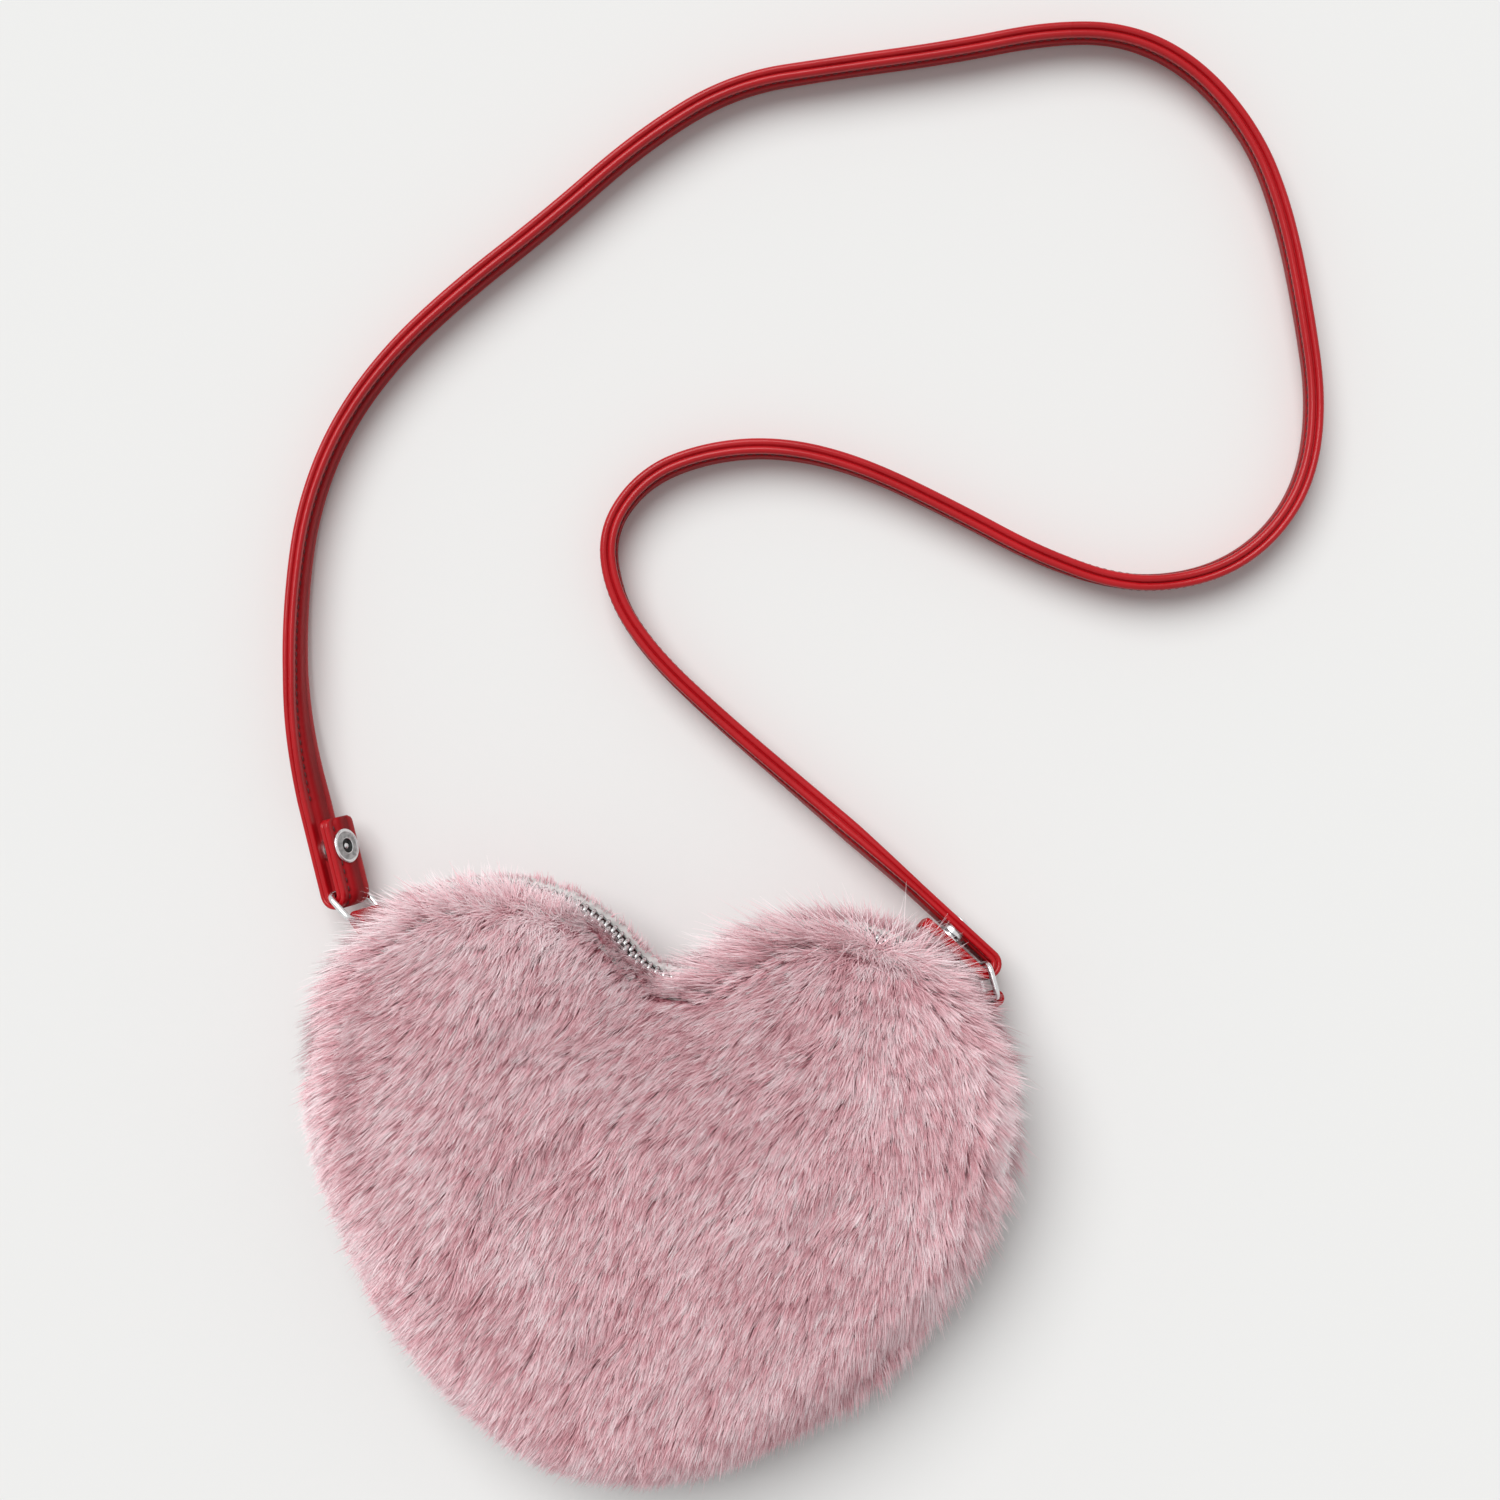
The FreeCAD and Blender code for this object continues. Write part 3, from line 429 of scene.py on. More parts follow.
def pile_tree(material):
    """Strands that grow from the backing, lie along its comb and gather into locks."""
    start, (backing, strands, width, lock, tuft, seed), end = blank_tree("pile", "Pile", {
        "Backing": "Geometry", "Strands": "Float", "Width": "Float", "Lock": "Float", "Tuft": "Float",
        "Seed": "Int"})

    def field(name, kind="FLOAT"):
        return start.node("GeometryNodeInputNamedAttribute", {"Name": name}, data_type=kind)

    def store(geometry, name, value, kind="FLOAT", domain="POINT"):
        inputs = {"Geometry": geometry, "Name": name, "Value": value}
        return start.node("GeometryNodeStoreNamedAttribute", inputs, data_type=kind, domain=domain)

    def chance(low, high, shift):
        return start.node("FunctionNodeRandomValue", {2: low, 3: high, "Seed": seed + shift}, out=1)

    def add(first, second):
        return start.node("ShaderNodeVectorMath", {0: first, 1: second}, operation="ADD")

    def scaled(vector, share):
        return start.node("ShaderNodeVectorMath", {0: vector, "Scale": share}, operation="SCALE")

    # One strand, a narrow blade that stands up and then bends over
    blade = start.node("GeometryNodeMeshGrid",
                       {"Size X": 1.0, "Size Y": 1.0, "Vertices X": 3, "Vertices Y": 2})
    axes = start.node("ShaderNodeSeparateXYZ", {0: start.node("GeometryNodeInputPosition")})
    blade = store(store(blade, "along", axes + 0.5), "across", axes.other(1))
    along = field("along")
    bent = start.node("ShaderNodeCombineXYZ", {
        0: along * (lean_low + along * lean_high),
        1: field("across") * (1.0 - along**narrow_power * narrow_share),
        2: along * (rise_low - along * rise_loss),
    })
    blade = start.node("GeometryNodeSetPosition", {"Geometry": blade, "Position": bent})

    # Roots, and the way each strand lies
    points = start.node("GeometryNodeDistributePointsOnFaces",
                        {"Mesh": backing, "Density": strands * field("crowd"), "Seed": seed})
    root = start.node("GeometryNodeInputPosition")
    sway = start.node("ShaderNodeTexNoise", {"Vector": root, "Scale": sway_scale, "Detail": 2.0}, out=1)
    stray = start.node("FunctionNodeRandomValue", {0: (-1, -1, -1), 1: (1, 1, 1), "Seed": seed + 3},
                       data_type="FLOAT_VECTOR")
    lie = add(field("way", "FLOAT_VECTOR"), scaled(add(sway, (-0.5, -0.5, -0.5)), sway_share))
    lie = add(lie, scaled(stray, field("ruffle") * ruffled_stray + stray_share))
    turned = start.node("FunctionNodeAxesToRotation",
                        {"Primary Axis": points.other("Normal"), "Secondary Axis": lie},
                        primary_axis="Z", secondary_axis="X")
    guard = start.maths("GREATER_THAN", chance(0.0, 1.0, 4), guard_from)
    length = field("reach") * chance(*length_spread, 5) * (guard * guard_extra + 1.0)
    size = start.node("ShaderNodeCombineXYZ", {
        0: length,
        1: width * chance(*width_spread, 7),
        2: length * field("lift") * chance(*lift_spread, 6),
    })
    planted = start.node("GeometryNodeInstanceOnPoints",
                         {"Points": points, "Instance": blade, "Rotation": turned, "Scale": size})

    # Locks and tufts: tips are drawn towards the middle of their cell, and a lock has one tint
    middles, drawn = [], []
    for cell_size, share in ((lock, lock_pull), (tuft, tuft_pull)):
        cell = start.node("ShaderNodeTexVoronoi", {"Vector": root, "Scale": 1.0 / cell_size}, out="Position")
        middles.append(cell)
        drawn.append(scaled(add(cell, scaled(root, -1.0)), share))
    shade = start.node("ShaderNodeTexWhiteNoise", {"Vector": middles[0]})
    blotch = start.node("ShaderNodeTexNoise", {"Vector": root, "Scale": blotch_scale, "Detail": 2.0})
    # The tint is paler where the backing asks for it: painted light.
    tint = (tint_middle + (shade - 0.5) * lock_tint + (blotch - 0.5) * blotch_tint
            + chance(-strand_tint, strand_tint, 9) + field("pale_and_painted_light") * pale_and_painted_light_tint)
    tint = start.node("ShaderNodeClamp", {0: tint, 1: patch_margin, 2: 1.0 - patch_margin})
    planted = store(planted, "tint", tint, domain="INSTANCE")
    planted = store(planted, "pull", add(*drawn), "FLOAT_VECTOR", "INSTANCE")

    # The tips give way to the pull, and the pile keeps off the table
    grown = start.node("GeometryNodeRealizeInstances", {0: planted})
    offset = scaled(field("pull", "FLOAT_VECTOR"), field("along") ** pull_power)
    grown = start.node("GeometryNodeSetPosition", {"Geometry": grown, "Offset": offset})
    spot = start.node("ShaderNodeVectorMath", {
        0: start.node("GeometryNodeInputPosition"), 1: (far_below, far_below, table_gap),
    }, operation="MAXIMUM")
    grown = start.node("GeometryNodeSetPosition", {"Geometry": grown, "Position": spot})
    patch = start.node("ShaderNodeCombineXYZ", {
        0: field("tint") + field("across") * patch_width,
        1: field("along") * (1.0 - 2 * patch_margin) + patch_margin,
    })
    grown = store(grown, "OFBake", patch, "FLOAT2", "CORNER")
    for name in ("along", "across", "tint", "pull"):
        grown = start.node("GeometryNodeRemoveAttribute", {"Geometry": grown, "Name": name})
    joined = start.node("GeometryNodeJoinGeometry")
    for part in (grown, backing):
        part.to(joined.socket.node.inputs[0])
    return clad(joined, material, end)


def grow(backing, tree, name, settings):
    """A node tree worked out on a mesh, with its inputs set in their order, as a plain piece."""
    grower = put(name + " source", backing)
    modifier = grower.modifiers.new(name, "NODES")
    modifier.node_group = tree
    inputs = [item for item in tree.interface.items_tree
              if item.item_type == "SOCKET" and item.in_out == "INPUT"]
    for item, value in zip(inputs[1:], settings):
        modifier[item.identifier] = value
    return put(name, settled(grower))


def mixed(share, first, second, blend="MIX"):
    """One colour from two, by the Mix node's own sockets for colours."""
    return first.node("ShaderNodeMix", {0: share, 6: first, 7: second}, out=2,
                      data_type="RGBA", blend_type=blend)


pink_pile, shader, start = finish("pink pile", {"Roughness": 0.8, "Specular IOR Level": 0.2})
axes = start.node("ShaderNodeSeparateXYZ", {0: start.node("ShaderNodeUVMap", uv_map="OFBake")})
shade = axes.ramp((0.0, (0.66, 0.34, 0.38)), (0.35, (0.9, 0.61, 0.65)),
                  (0.65, (0.98, 0.79, 0.82)), (1.0, (1.0, 0.94, 0.95)))
# Darker and pinker towards the roots: painted shade deep in the pile.
root_shade = axes.other(1).ramp((0.0, (0.64, 0.37, 0.41)), (0.5, (0.94, 0.82, 0.84)), (1.0, (1.0, 1.0, 1.0)))
mixed(1.0, shade, root_shade, "MULTIPLY").to(shader.inputs["Base Color"])

pillow = stuffed_heart()
growing = pile_tree(pink_pile)
strand_width, lock_size, tuft_size, seed = 0.00024, 0.0012, 0.006, 4
front_strands, body_strands = 9.6e6, 4.5e6
for front, name, strands in ((True, "front_pile", front_strands), (False, "body_pile", body_strands)):
    backing = cut_panel(pillow, front)
    comb(backing, front)
    paint_backing(backing)
    pile = grow(backing, growing, name, (strands, strand_width, lock_size, tuft_size, seed))
    if front:
        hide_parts("front_fur_panel", "mouth_fur_panel")
        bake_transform(pile)
    else:
        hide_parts("side_fur_gusset", "back_fur_panel")
        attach(pile, "bag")


# Zip
# Two woven tapes sewn in along the edge of the front and of the gusset, over both lobes and the notch.
# Bright metal teeth are clamped on their edges, and the slider with its pull stops at the right flank.

zip_inset, zip_tilt = 0.0048, math.radians(30.0)
zip_radius, zip_notch_radius = lobe_radius - zip_inset, notch_radius + zip_inset
tooth_pitch, tooth_size, tooth_crease = 0.0024, (0.00125, 0.0037, 0.0024), 0.55
chain_half_width, tooth_bite = 0.003, 0.0007
first_tooth_turn, last_tooth_turn = 0.0, 180.0
row_starts = {1: 0.2, -1: 0.7}

tape, shader, start = finish("zip tape", {"Roughness": 0.85, "Specular IOR Level": 0.2})
place = start.node("ShaderNodeTexCoord", out="Object")
ribs = start.node("ShaderNodeTexWave", {"Vector": place, "Scale": 420.0, "Distortion": 1.2},
                  bands_direction="DIAGONAL")
wear = start.node("ShaderNodeTexNoise", {"Vector": place, "Scale": 60.0})
woven = ribs * 0.6 + wear * 0.4
woven.ramp((0.0, (0.5, 0.49, 0.48)), (1.0, (0.76, 0.75, 0.74))).to(shader.inputs["Base Color"])
ribs.bump(0.5, 0.0002).to(shader.inputs["Normal"])
dress(tape, "zip_tape_front", "mouth_zip_tape", "zip_tape_back")

bright_metal, shader, start = finish("bright metal", {"Metallic": 1.0})
place = start.node("ShaderNodeTexCoord", out="Object")
rubs = start.node("ShaderNodeTexNoise", {"Vector": place, "Scale": 700.0, "Detail": 3.0})
rubs.ramp((0.2, (0.62, 0.62, 0.63)), (0.8, (0.8, 0.8, 0.8))).to(shader.inputs["Base Color"])
(rubs * 0.18 + 0.14).to(shader.inputs["Roughness"])
dress(bright_metal, "zip_slider", "zip_pull", "zip_top_stops", "zip_bottom_stop")


def zip_places(row):
    """Places of one row's teeth, the way along the zip and the way out of it."""
    right = math.radians(notch_turn - first_tooth_turn) * zip_radius
    notch = math.radians(2 * notch_turn - 180) * zip_notch_radius
    left = math.radians(last_tooth_turn - 180 + notch_turn) * zip_radius
    places = []
    for k in range(int((right + notch + left) / tooth_pitch)):
        run = tooth_pitch * (k + row_starts[row])
        if run < right:
            centre, radius, side = (lobe_x, lobe_y), zip_radius, 1
            turn = math.radians(first_tooth_turn) + run / zip_radius
        elif run < right + notch:
            centre, radius, side = (0.0, notch_y), zip_notch_radius, -1
            turn = math.radians(notch_turn - 180) - (run - right) / zip_notch_radius
        else:
            centre, radius, side = (-lobe_x, lobe_y), zip_radius, 1
            turn = math.radians(180 - notch_turn) + (run - right - notch) / zip_radius
        away = Vector((math.cos(turn), math.sin(turn), 0.0)) * side
        spot = Vector((centre[0] + radius * math.cos(turn), centre[1] + radius * math.sin(turn), seam_level))
        places.append((spot, up.cross(away), up * math.sin(zip_tilt) + away * math.cos(zip_tilt)))
    return places


def teeth_tree(material):
    """A rounded tooth at every place of a row."""
    start, (places, size, shift), end = blank_tree("zip teeth", "Teeth", {
        "Places": "Geometry", "Tooth size": "Vector", "Shift": "Vector"})
    tooth = start.node("GeometryNodeMeshCube", {"Size": size})
    tooth = start.node("GeometryNodeSubdivisionSurface",
                       {"Mesh": tooth, "Level": 1, "Edge Crease": tooth_crease})
    tooth = start.node("GeometryNodeTransform", {"Geometry": tooth, "Translation": shift})
    ahead, out = (start.node("GeometryNodeInputNamedAttribute", {"Name": name}, data_type="FLOAT_VECTOR")
                  for name in ("ahead", "out"))
    turned = start.node("FunctionNodeAxesToRotation", {"Primary Axis": ahead, "Secondary Axis": out},
                        primary_axis="X", secondary_axis="Z")
    row = start.node("GeometryNodeInstanceOnPoints",
                     {"Points": places, "Instance": tooth, "Rotation": turned})
    return clad(start.node("GeometryNodeRealizeInstances", {0: row}), material, end)


def place_mesh(name, places, fields):
    """Loose points that carry directions for a node tree."""
    mesh = bpy.data.meshes.new(name)
    mesh.from_pydata([tuple(item[0]) for item in places], [], [])
    for k, field in enumerate(fields, start=1):
        mesh.attributes.new(field, "FLOAT_VECTOR", "POINT").data.foreach_set(
            "vector", np.array([tuple(item[k]) for item in places]).ravel())
    return mesh


zip_teeth = teeth_tree(bright_metal)
front_row, back_row = zip_places(1), zip_places(-1)
in_mouth = [item for item in front_row if (item[0] - fold_place).dot(fold_way) > 0]
beside = [item for item in front_row if (item[0] - fold_place).dot(fold_way) <= 0]
for name, places, row, body, node in (
        ("front_teeth", beside, 1, "bag", "zip_teeth_front"),
        ("mouth_teeth", in_mouth, 1, "mouth_lip", "mouth_zip_teeth"),
        ("back_teeth", back_row, -1, "bag", "zip_teeth_back")):
    shift = (0.0, row * (chain_half_width - tooth_bite) / 2, 0.0)
    teeth = grow(place_mesh(name, places, ("ahead", "out")), zip_teeth, name, (tooth_size, shift))
    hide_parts(node)
    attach(teeth, body)


# Rings and tabs
# A wire ring swings in a folded strip of the strap's leather at each side of the heart.
# The strip's tails are sewn into the gusset, so little more than its fold shows in the pile.

dress(bright_metal, "ring_left", "ring_right")

red_leather, shader, start = finish("red leather", {"Coat Roughness": 0.16, "Specular IOR Level": 0.1})
place = start.node("ShaderNodeTexCoord", out="Object")
grain = start.node("ShaderNodeTexVoronoi", {"Vector": place, "Scale": 1700.0})
cloud = start.node("ShaderNodeTexNoise", {"Vector": place, "Scale": 55.0, "Detail": 4.0})
crease = start.node("ShaderNodeTexNoise", {"Vector": place, "Scale": 240.0, "Detail": 2.0})
rim = start.node("ShaderNodeAttribute", attribute_name="rim", out="Fac")
face_red = cloud.ramp((0.25, (0.29, 0.006, 0.009)), (0.55, (0.35, 0.008, 0.012)), (0.8, (0.4, 0.01, 0.015)))
rim_red = cloud.ramp((0.25, (0.39, 0.003, 0.007)), (0.75, (0.48, 0.006, 0.011)))
mixed(rim, face_red, rim_red).to(shader.inputs["Base Color"])
(cloud * 0.14 + 0.44 - rim * 0.22).to(shader.inputs["Roughness"])
(rim * 0.4).to(shader.inputs["Coat Weight"])
(grain * 0.35 + crease * 0.65).bump(0.22, 0.00025).to(shader.inputs["Normal"])
dress(red_leather, "ring_tab_left", "ring_tab_right")


# Strap
# Two plies of smooth leather with turned edges, sewn together along the upper edge.
# It stands on its edge on the table, and rises and leans over to the ring at each end.

strap_width, strap_thickness, end_thickness = 0.012, 0.0044, 0.003
strap_route = [
    (-0.1097, 0.0953, 0.0099), (-0.1149, 0.1084, 0.0097), (-0.1201, 0.1302, 0.0089),
    (-0.1228, 0.154, 0.0078), (-0.1228, 0.1775, 0.0067), (-0.1173, 0.201, 0.0062),
    (-0.1056, 0.2233, 0.0062), (-0.0884, 0.2445, 0.0062), (-0.0652, 0.2682, 0.0062),
    (-0.0423, 0.2945, 0.0062), (-0.0182, 0.3141, 0.0062), (0.0109, 0.3229, 0.0062),
    (0.0419, 0.3314, 0.0062), (0.07, 0.341, 0.0062), (0.092, 0.3436, 0.0062),
    (0.1128, 0.3365, 0.0062), (0.1321, 0.3192, 0.0062), (0.1439, 0.2974, 0.0062),
    (0.153, 0.271, 0.0062), (0.16, 0.246, 0.0062), (0.16, 0.223, 0.0062),
    (0.1512, 0.2046, 0.0062), (0.1357, 0.1921, 0.0062), (0.113, 0.1865, 0.0062),
    (0.088, 0.1911, 0.0062), (0.0604, 0.2015, 0.0062), (0.033, 0.2105, 0.0062),
    (0.009, 0.2129, 0.0062), (-0.0116, 0.2085, 0.0062), (-0.0285, 0.199, 0.0062),
    (-0.0375, 0.1821, 0.0062), (-0.0323, 0.1638, 0.0062), (-0.0194, 0.1487, 0.0062),
    (0.0024, 0.133, 0.0062), (0.0286, 0.1159, 0.0064), (0.0513, 0.101, 0.0093),
    (0.0644, 0.0919, 0.0103),
]
# How far it leans over to its inner side, in degrees, at distances from its left end
strap_lean = [
    (0.0, 29), (0.014, 22), (0.036, 12), (0.06, 9), (0.1, 6), (0.16, 3), (0.25, 0), (0.286, -4),
    (0.347, -3), (0.37, -6), (0.42, -7), (0.44, -5), (0.49, -6), (0.516, -3), (0.536, 0), (0.555, 4),
    (0.58, 6), (0.604, 2), (0.66, 1), (0.685, -2), (0.725, -4), (0.743, -1), (0.762, -2), (0.782, 2),
    (0.808, 4), (0.839, 7), (0.866, 11), (0.9, 12),
]
left_taper, right_taper, station_step, look_round = 0.16, 0.025, 0.0015, 0.002
# The section: its rounded edges, the groove between the plies, and the dip that the seam pulls into a face
edge_turns, groove_depth = (180, 150, 120, 90, 62, 36), 1.35
dip_from, stitch_margin, dip_to, dip_depth = 0.0012, 0.0026, 0.0032, 0.00012
flank_swell, face_swell = 0.00008, 0.0001
rim_from, rim_to = 0.0018, 0.001


def strap_line():
    """Points close together along the strap's smooth line."""
    curve = bpy.data.curves.new("strap line", "CURVE")
    curve.dimensions = "3D"
    spline = curve.splines.new("NURBS")
    spline.points.add(len(strap_route) - 1)
    for point, spot in zip(spline.points, strap_route):
        point.co = (*spot, 1.0)
    spline.order_u = 3
    spline.use_endpoint_u = True
    curve.resolution_u = 24
    return np.array([vertex.co[:] for vertex in settled(put("strap line", curve)).vertices])


line_points = strap_line()
line_steps = np.linalg.norm(np.diff(line_points, axis=0), axis=1)
line_runs = np.concatenate([[0.0], np.cumsum(line_steps)])
strap_length = line_runs[-1]


def on_strap(run):
    """The strap's middle at a distance from its left end."""
    return Vector([np.interp(run, line_runs, line_points[:, k]) for k in range(3)])


def strap_axes(run):
    """The strap's middle, the way out of its inner face and the way across its width."""
    before, after = on_strap(max(run - look_round, 0.0)), on_strap(min(run + look_round, strap_length))
    ahead = (after - before).normalized()
    level = Vector((ahead.x, ahead.y, 0.0)).normalized()
    lean = math.radians(np.interp(run, *zip(*strap_lean)))
    inner = level.cross(up) * math.cos(lean) + up * math.sin(lean)
    inner = (inner - ahead * inner.dot(ahead)).normalized()
    return on_strap(run), inner, inner.cross(ahead)


def band_section(thickness):
    """The outline of two plies with rounded edges and a groove between them: (out of face, across)."""
    half, ply = strap_width / 2, thickness / 4
    edge = [(-ply + ply * math.cos(math.radians(a)), half - ply + ply * math.sin(math.radians(a)))
            for a in edge_turns]
    edge += [(0.0, half - ply * groove_depth)]
    edge += [(-x, y) for x, y in reversed(edge[:-1])]
    face = [(2 * ply, half - dip_from), (2 * ply - dip_depth, half - stitch_margin), (2 * ply, half - dip_to),
            (2 * ply + flank_swell, half / 2), (2 * ply + face_swell, 0.0)]
    half_loop = edge + face + [(x, -y) for x, y in reversed(face[:-1])]
    return half_loop + [(-x, -y) for x, y in half_loop]


def shaped(name, shape, *materials):
    """A piece with its faces turned outwards and its bands smooth."""
    bmesh.ops.recalc_face_normals(shape, faces=shape.faces[:])
    for face in shape.faces:
        face.smooth = len(face.verts) == 4
    mesh = bpy.data.meshes.new(name)
    shape.to_mesh(mesh)
    for material in materials:
        mesh.materials.append(material)
    return put(name, mesh)


def sweep(name, stations):
    """A closed skin through sections that each have a middle, two axes, a thickness and a width share."""
    band = bmesh.new()
    rim = band.verts.layers.float.new("rim")
    rings = []
    for middle, out, across, thickness, share in stations:
        ring = []
        for x, y in band_section(thickness):
            ring.append(band.verts.new(middle + out * x + across * (y * share)))
            ring[-1][rim] = float(ease(abs(y), strap_width / 2 - rim_from, strap_width / 2 - rim_to))
        rings.append(ring)
    wrap(band, rings)
    for ring in (rings[0], rings[-1]):
        band.faces.new([band.verts.new(vertex.co, vertex) for vertex in ring])
    return shaped(name, band, red_leather)


def stitch_tree(material):
    """Stitches laid end to end along lines."""
    start, (lines, spacing, size), end = blank_tree("stitches", "Stitches", {
        "Lines": "Geometry", "Spacing": "Float", "Stitch size": "Vector"})
    seam = start.node("GeometryNodeMeshToCurve", {"Mesh": lines})
    seam = start.node("GeometryNodeResampleCurve", {"Curve": seam, "Length": spacing}, mode="LENGTH")
    turned = start.node("FunctionNodeAlignRotationToVector",
                        {"Vector": start.node("GeometryNodeInputTangent")}, axis="X")
    thread = start.node("GeometryNodeMeshUVSphere", {"Segments": 6, "Rings": 5, "Radius": 1.0})
    thread = start.node("GeometryNodeTransform", {"Geometry": thread, "Rotation": (0.0, math.pi / 2, 0.0)})
    row = start.node("GeometryNodeInstanceOnPoints",
                     {"Points": seam, "Instance": thread, "Rotation": turned, "Scale": size})
    return clad(start.node("GeometryNodeRealizeInstances", {0: row}), material, end)


thread_with_painted_shade, shader, start = finish("red thread with painted shade", {"Roughness": 0.6})
place = start.node("ShaderNodeTexCoord", out="Object")
twist = start.node("ShaderNodeTexNoise", {"Vector": place, "Scale": 2600.0})
# The thread is the leather's red. Its near-black colour is painted shade of the trough the stitches sink
# into.
twist.ramp((0.3, (0.05, 0.002, 0.003)), (0.7, (0.12, 0.004, 0.006))).to(shader.inputs["Base Color"])
sewing = stitch_tree(thread_with_painted_shade)
stitch_spacing, stitch_size, stitch_sink = 0.0022, (0.00082, 0.00026, 0.00026), 0.00006


def sew(name, stations, faces=(-1, 1), side=1):
    """Rows of stitches along the upper edge of a band, on the faces that are named."""
    points, edges = [], []
    for face in faces:
        first = len(points)
        for middle, out, across, thickness, share in stations:
            y = side * (strap_width / 2 - stitch_margin) * share
            points.append(tuple(middle + out * (face * (thickness / 2 - stitch_sink)) + across * y))
        edges += [(k, k + 1) for k in range(first, len(points) - 1)]
    mesh = bpy.data.meshes.new(name + " lines")
    mesh.from_pydata(points, edges, [])
    return grow(mesh, sewing, name, (stitch_spacing, stitch_size))


def strap_stations(first, last):
    """Sections of the strap between two distances from its left end."""
    stations = []
    for run in np.linspace(first, last, max(2, int(abs(last - first) / station_step))):
        from_end = min(run, strap_length - run)
        taper = left_taper if run < strap_length / 2 else right_taper
        thickness = np.interp(from_end, (0.0, taper), (end_thickness, strap_thickness))
        stations.append((*strap_axes(run), thickness, 1.0))
    return stations


left_lead, left_neck, right_lead, right_neck = 0.110, 0.030, 0.050, 0.018
strap_runs = {
    "strap_band": (left_lead, strap_length - right_lead),
    "strap_lead_left": (left_neck, left_lead),
    "strap_neck_left": (0.0, left_neck),
    "strap_lead_right": (strap_length - right_lead, strap_length - right_neck),
    "strap_neck_right": (strap_length - right_neck, strap_length),
}
strap_pieces = {}
for name, (first, last) in strap_runs.items():
    stations = strap_stations(first, last)
    strap_pieces[name] = (sweep(name, stations), sew(name + "_stitches", stations))
    side = name.rsplit("_", 1)[-1]
    near, far = (first, last) if side == "left" else (last, first)
    for piece in strap_pieces[name]:
        if name == "strap_band":
            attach(piece, "bag")
        elif "lead" in name:
            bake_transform(piece)
        else:
            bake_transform(piece)
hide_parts("strap_outer_ply", "strap_inner_ply")
for side in ("left", "right"):
    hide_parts(f"strap_lead_outer_{side}", f"strap_lead_inner_{side}")


# Strap ends
# At each ring the strap is folded back on itself round the wire, and its tip lies along its inner face.
# The tip has rounded corners and is held down by a press stud.

bend_radius, loop_run, flap_run, flap_corner = 0.0029, 0.028, 0.021, 0.002
fold_step, lap, hinge_run, seam_end = 0.0007, 0.0006, 0.004, 0.003
bend_run = math.pi * bend_radius
crease_run, tip_run = loop_run + bend_run + lap, loop_run + bend_run + flap_run
# Where each fold lies, the way the strap leaves it and how far it leans, in degrees, and its upper side
end_facts = {
    "left": ((-0.097115, 0.070220, 0.011289), 111.5, 29.0, 1),
    "right": ((0.085711, 0.073473, 0.010868), 145.0, 12.0, -1),
}
end_axes = {}
for side, (bow, heading, lean, upper) in end_facts.items():
    along = Vector((math.cos(math.radians(heading)), math.sin(math.radians(heading)), 0.0))
    level = along.cross(up) * upper
    out = level * math.cos(math.radians(lean)) + up * math.sin(math.radians(lean))
    end_axes[side] = (Vector(bow), along, out.cross(along), out)


def fold_stations(side, first, last, tip=False):
    """Sections from the strap round the ring to the tip. Runs are measured along the fold's middle."""
    bow, along, across, out = end_axes[side]
    stations = []
    for run in np.linspace(first, last, max(3, int((last - first) / fold_step))):
        share = 1.0
        if run < loop_run:
            middle, inward = bow + along * (loop_run - run) - out * bend_radius, out
        elif run < loop_run + bend_run:
            turn = (run - loop_run) / bend_radius
            inward = out * math.cos(turn) + along * math.sin(turn)
            middle = bow - inward * bend_radius
        else:
            left = tip_run - run
            middle, inward = bow + along * (flap_run - left) + out * bend_radius, -out
            if tip and left < flap_corner:
                round_off = flap_corner - math.sqrt(max(0.0, flap_corner**2 - (flap_corner - left) ** 2))
                share = 1.0 - 2 * round_off / strap_width
        stations.append((middle, inward, across, end_thickness, share))
    return stations


for side, (_, _, _, upper) in end_facts.items():
    bow, along, _, out = end_axes[side]
    hinge = bow + out * bend_radius
    loop = sweep(f"strap_fold_{side}", fold_stations(side, -lap, crease_run))
    loop_seam = sew(f"strap_fold_{side}_stitches", fold_stations(side, 0.0, crease_run), (-1,), upper)
    flap = sweep(f"strap_tip_{side}", fold_stations(side, crease_run, tip_run, tip=True))
    flap_seam = sew(f"strap_tip_{side}_stitches", fold_stations(side, crease_run, tip_run - seam_end),
                    (-1,), upper)
    for piece in (loop, loop_seam):
        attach(piece, f"strap_end_{side}")
    for piece in (flap, flap_seam):
        hinge + along * lap
        hinge + along * hinge_run
        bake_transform(piece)
    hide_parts(f"strap_loop_{side}")
    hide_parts(f"strap_flap_{side}")


# Press studs
# Pressed and plated sheet metal: a domed cap on the outside of the strap, its socket within the fold,
# and on the tip a stud held by an eyelet with a rolled flange.

stud_place, spin_steps = 0.0125, 40
outer_face, inner_face = bend_radius + end_thickness / 2, bend_radius - end_thickness / 2
bore_radius, barrel_radius, post_radius = 0.0002, 0.0022, 0.0015
# Points of the flange and of the dome: radius, and height over the leather's face
flange = [
    (bore_radius, 0.0006), (0.0006, 0.0005), (0.0008, 0.0001), (0.0019, 0.0001), (0.0021, 0.0006),
    (0.0023, 0.0007), (0.0027, 0.0005), (0.0041, 0.0005), (0.0044, 0.0007), (0.0048, 0.0006),
    (0.0050, 0.0003), (0.0050, 0.0), (barrel_radius, 0.0),
]
dome = [
    (post_radius, 0.0), (0.0044, 0.0), (0.0045, 0.0003), (0.0043, 0.0006), (0.0036, 0.0009),
    (0.0022, 0.0011), (0.0006, 0.00115),
]
# The flange's centre hollow is near-black metal: painted shade where the real eyelet has a hole. The ring
# band is duller metal.
hole_shade, dull = 1, 2
flange_wear_and_shade = {2: hole_shade, 3: hole_shade, 5: dull, 6: dull}

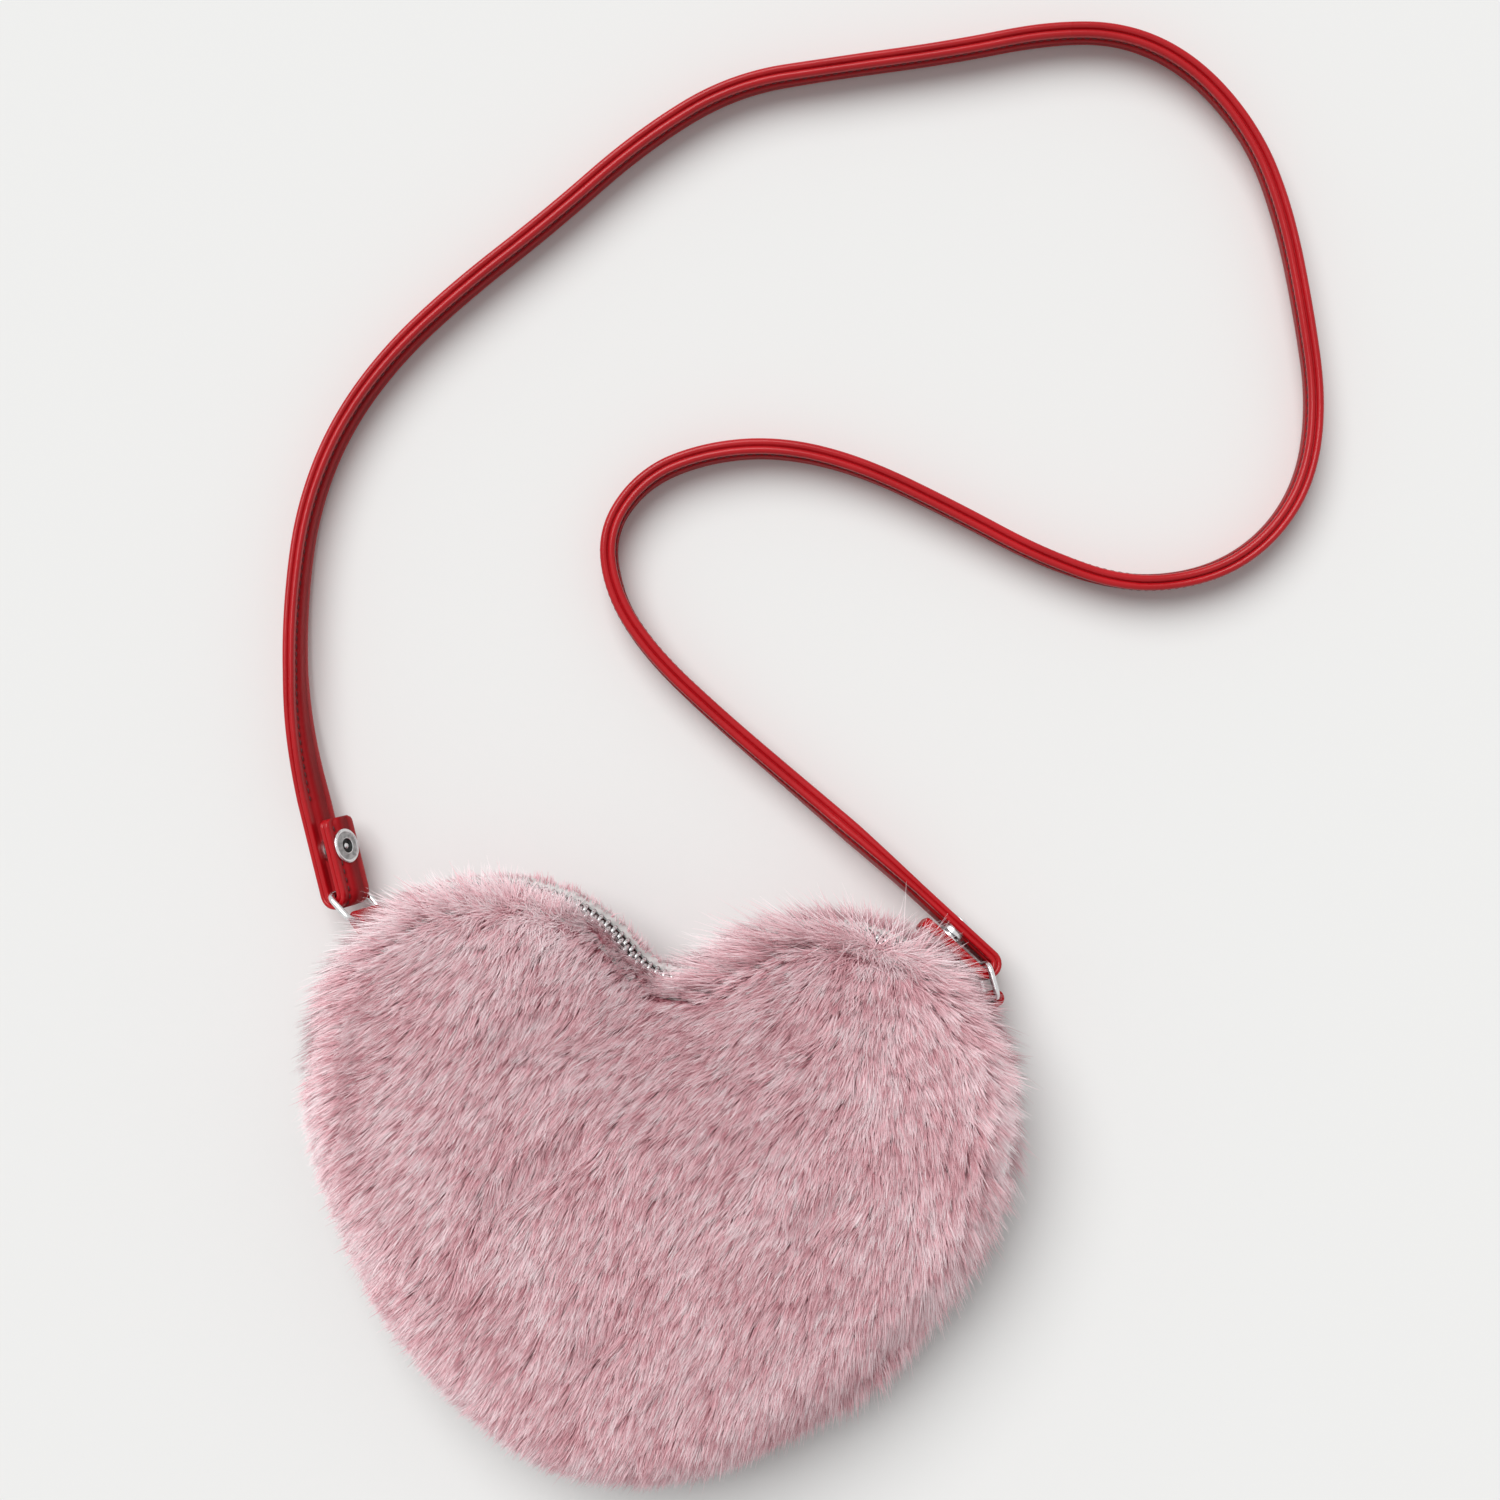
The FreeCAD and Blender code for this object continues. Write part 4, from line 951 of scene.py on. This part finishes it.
worn_and_shaded_metals = []
# Near-black metal painted as shade in the eyelet's hole, and duller metal for its ring
for label, dark, bright in (("hole shade metal", 0.02, 0.06), ("dull metal", 0.27, 0.46)):
    metal, shader, start = finish(label, {"Metallic": 1.0, "Roughness": 0.5})
    place = start.node("ShaderNodeTexCoord", out="Object")
    tarnish_and_shade = start.node("ShaderNodeTexNoise", {"Vector": place, "Scale": 900.0})
    tarnish_and_shade.ramp((0.35, (dark,) * 3), (0.65, (bright,) * 3)).to(shader.inputs["Base Color"])
    worn_and_shaded_metals.append(metal)


def turned_piece(name, profile, side, *worn_and_shaded_finishes, wear=None):
    """A round piece from points (radius, height) on the strap end's own axes, with some bands dulled and some
    painted dark as shade.
    """
    bow, along, across, out = end_axes[side]
    spun = bmesh.new()
    turns = [2 * math.pi * k / spin_steps for k in range(spin_steps)]
    rings = [[spun.verts.new(bow + along * (stud_place + radius * math.cos(turn))
                             + across * (radius * math.sin(turn)) + out * height) for turn in turns]
             for radius, height in profile]
    for index, faces in enumerate(wrap(spun, rings)):
        for face in faces:
            face.material_index = (wear or {}).get(index, 0)
    spun.faces.new(rings[0])
    spun.faces.new(rings[-1])
    return shaped(name, spun, bright_metal, *worn_and_shaded_finishes)


for side in ("left", "right"):
    profile = [(radius, outer_face + height) for radius, height in flange]
    profile += [(barrel_radius, inner_face), (bore_radius, inner_face)]
    eyelet = turned_piece(f"eyelet_{side}", profile, side, *worn_and_shaded_metals, wear=flange_wear_and_shade)
    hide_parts(f"snap_eyelet_{side}")
    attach(eyelet, f"flap_{side}")
    profile = [(post_radius, -inner_face)] + [(radius, -outer_face - height) for radius, height in dome]
    cap = turned_piece(f"cap_{side}", profile, side)
    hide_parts(f"snap_cap_{side}")
    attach(cap, f"strap_end_{side}")
    dress(bright_metal, f"snap_socket_{side}", f"snap_stud_{side}")


# Table and light
# A pale table under a large soft window from the upper left, with even light from all round.

table_half, table_level, table_colour = 3.0, -0.0003, (0.822, 0.822, 0.812)
table_mesh = bpy.data.meshes.new("table")
table_mesh.from_pydata([(x * table_half, y * table_half, table_level)
                        for x, y in ((-1, -1), (1, -1), (1, 1), (-1, 1))], [], [(0, 1, 2, 3)])
table = put("table", table_mesh)
table_top = {"Roughness": 0.9, "Base Color": (*table_colour, 1.0), "Specular IOR Level": 0.1}
table_mesh.materials.append(finish("table top", table_top)[0])

room_light, wall_shade = 0.38, 0.86
room = bpy.data.worlds.new("room")
bpy.context.scene.world = room
room.use_nodes = True
sky = room.node_tree.nodes["Background"]
sky.inputs["Color"].default_value = (1.0, 1.0, 1.0, 1.0)
ray = Wire(room.node_tree).node("ShaderNodeLightPath", out="Is Camera Ray")
seen = ray + ray.other("Is Glossy Ray") + ray.other("Is Transmission Ray")
(seen * (wall_shade - room_light) + room_light).to(sky.inputs["Strength"])

window_way = Vector((0.42, -0.53, -1.0))
window = bpy.data.lights.new("window", "SUN")
window.energy, window.angle = 2.554, math.radians(46.0)
put("window", window).rotation_euler = window_way.to_track_quat("-Z", "Y").to_euler()

view_x, view_y, view_turn, half_view, camera_height = 0.012, 0.1254, math.radians(7.6), 0.2175, 0.65
camera = bpy.data.cameras.new("camera")
camera.angle = 2 * math.atan(half_view / camera_height)
camera_object = put("camera", camera)
camera_object.location = (view_x, view_y, camera_height)
camera_object.rotation_euler = (0.0, 0.0, view_turn)
bpy.context.scene.camera = camera_object
bpy.context.scene.view_settings.view_transform = "Standard"
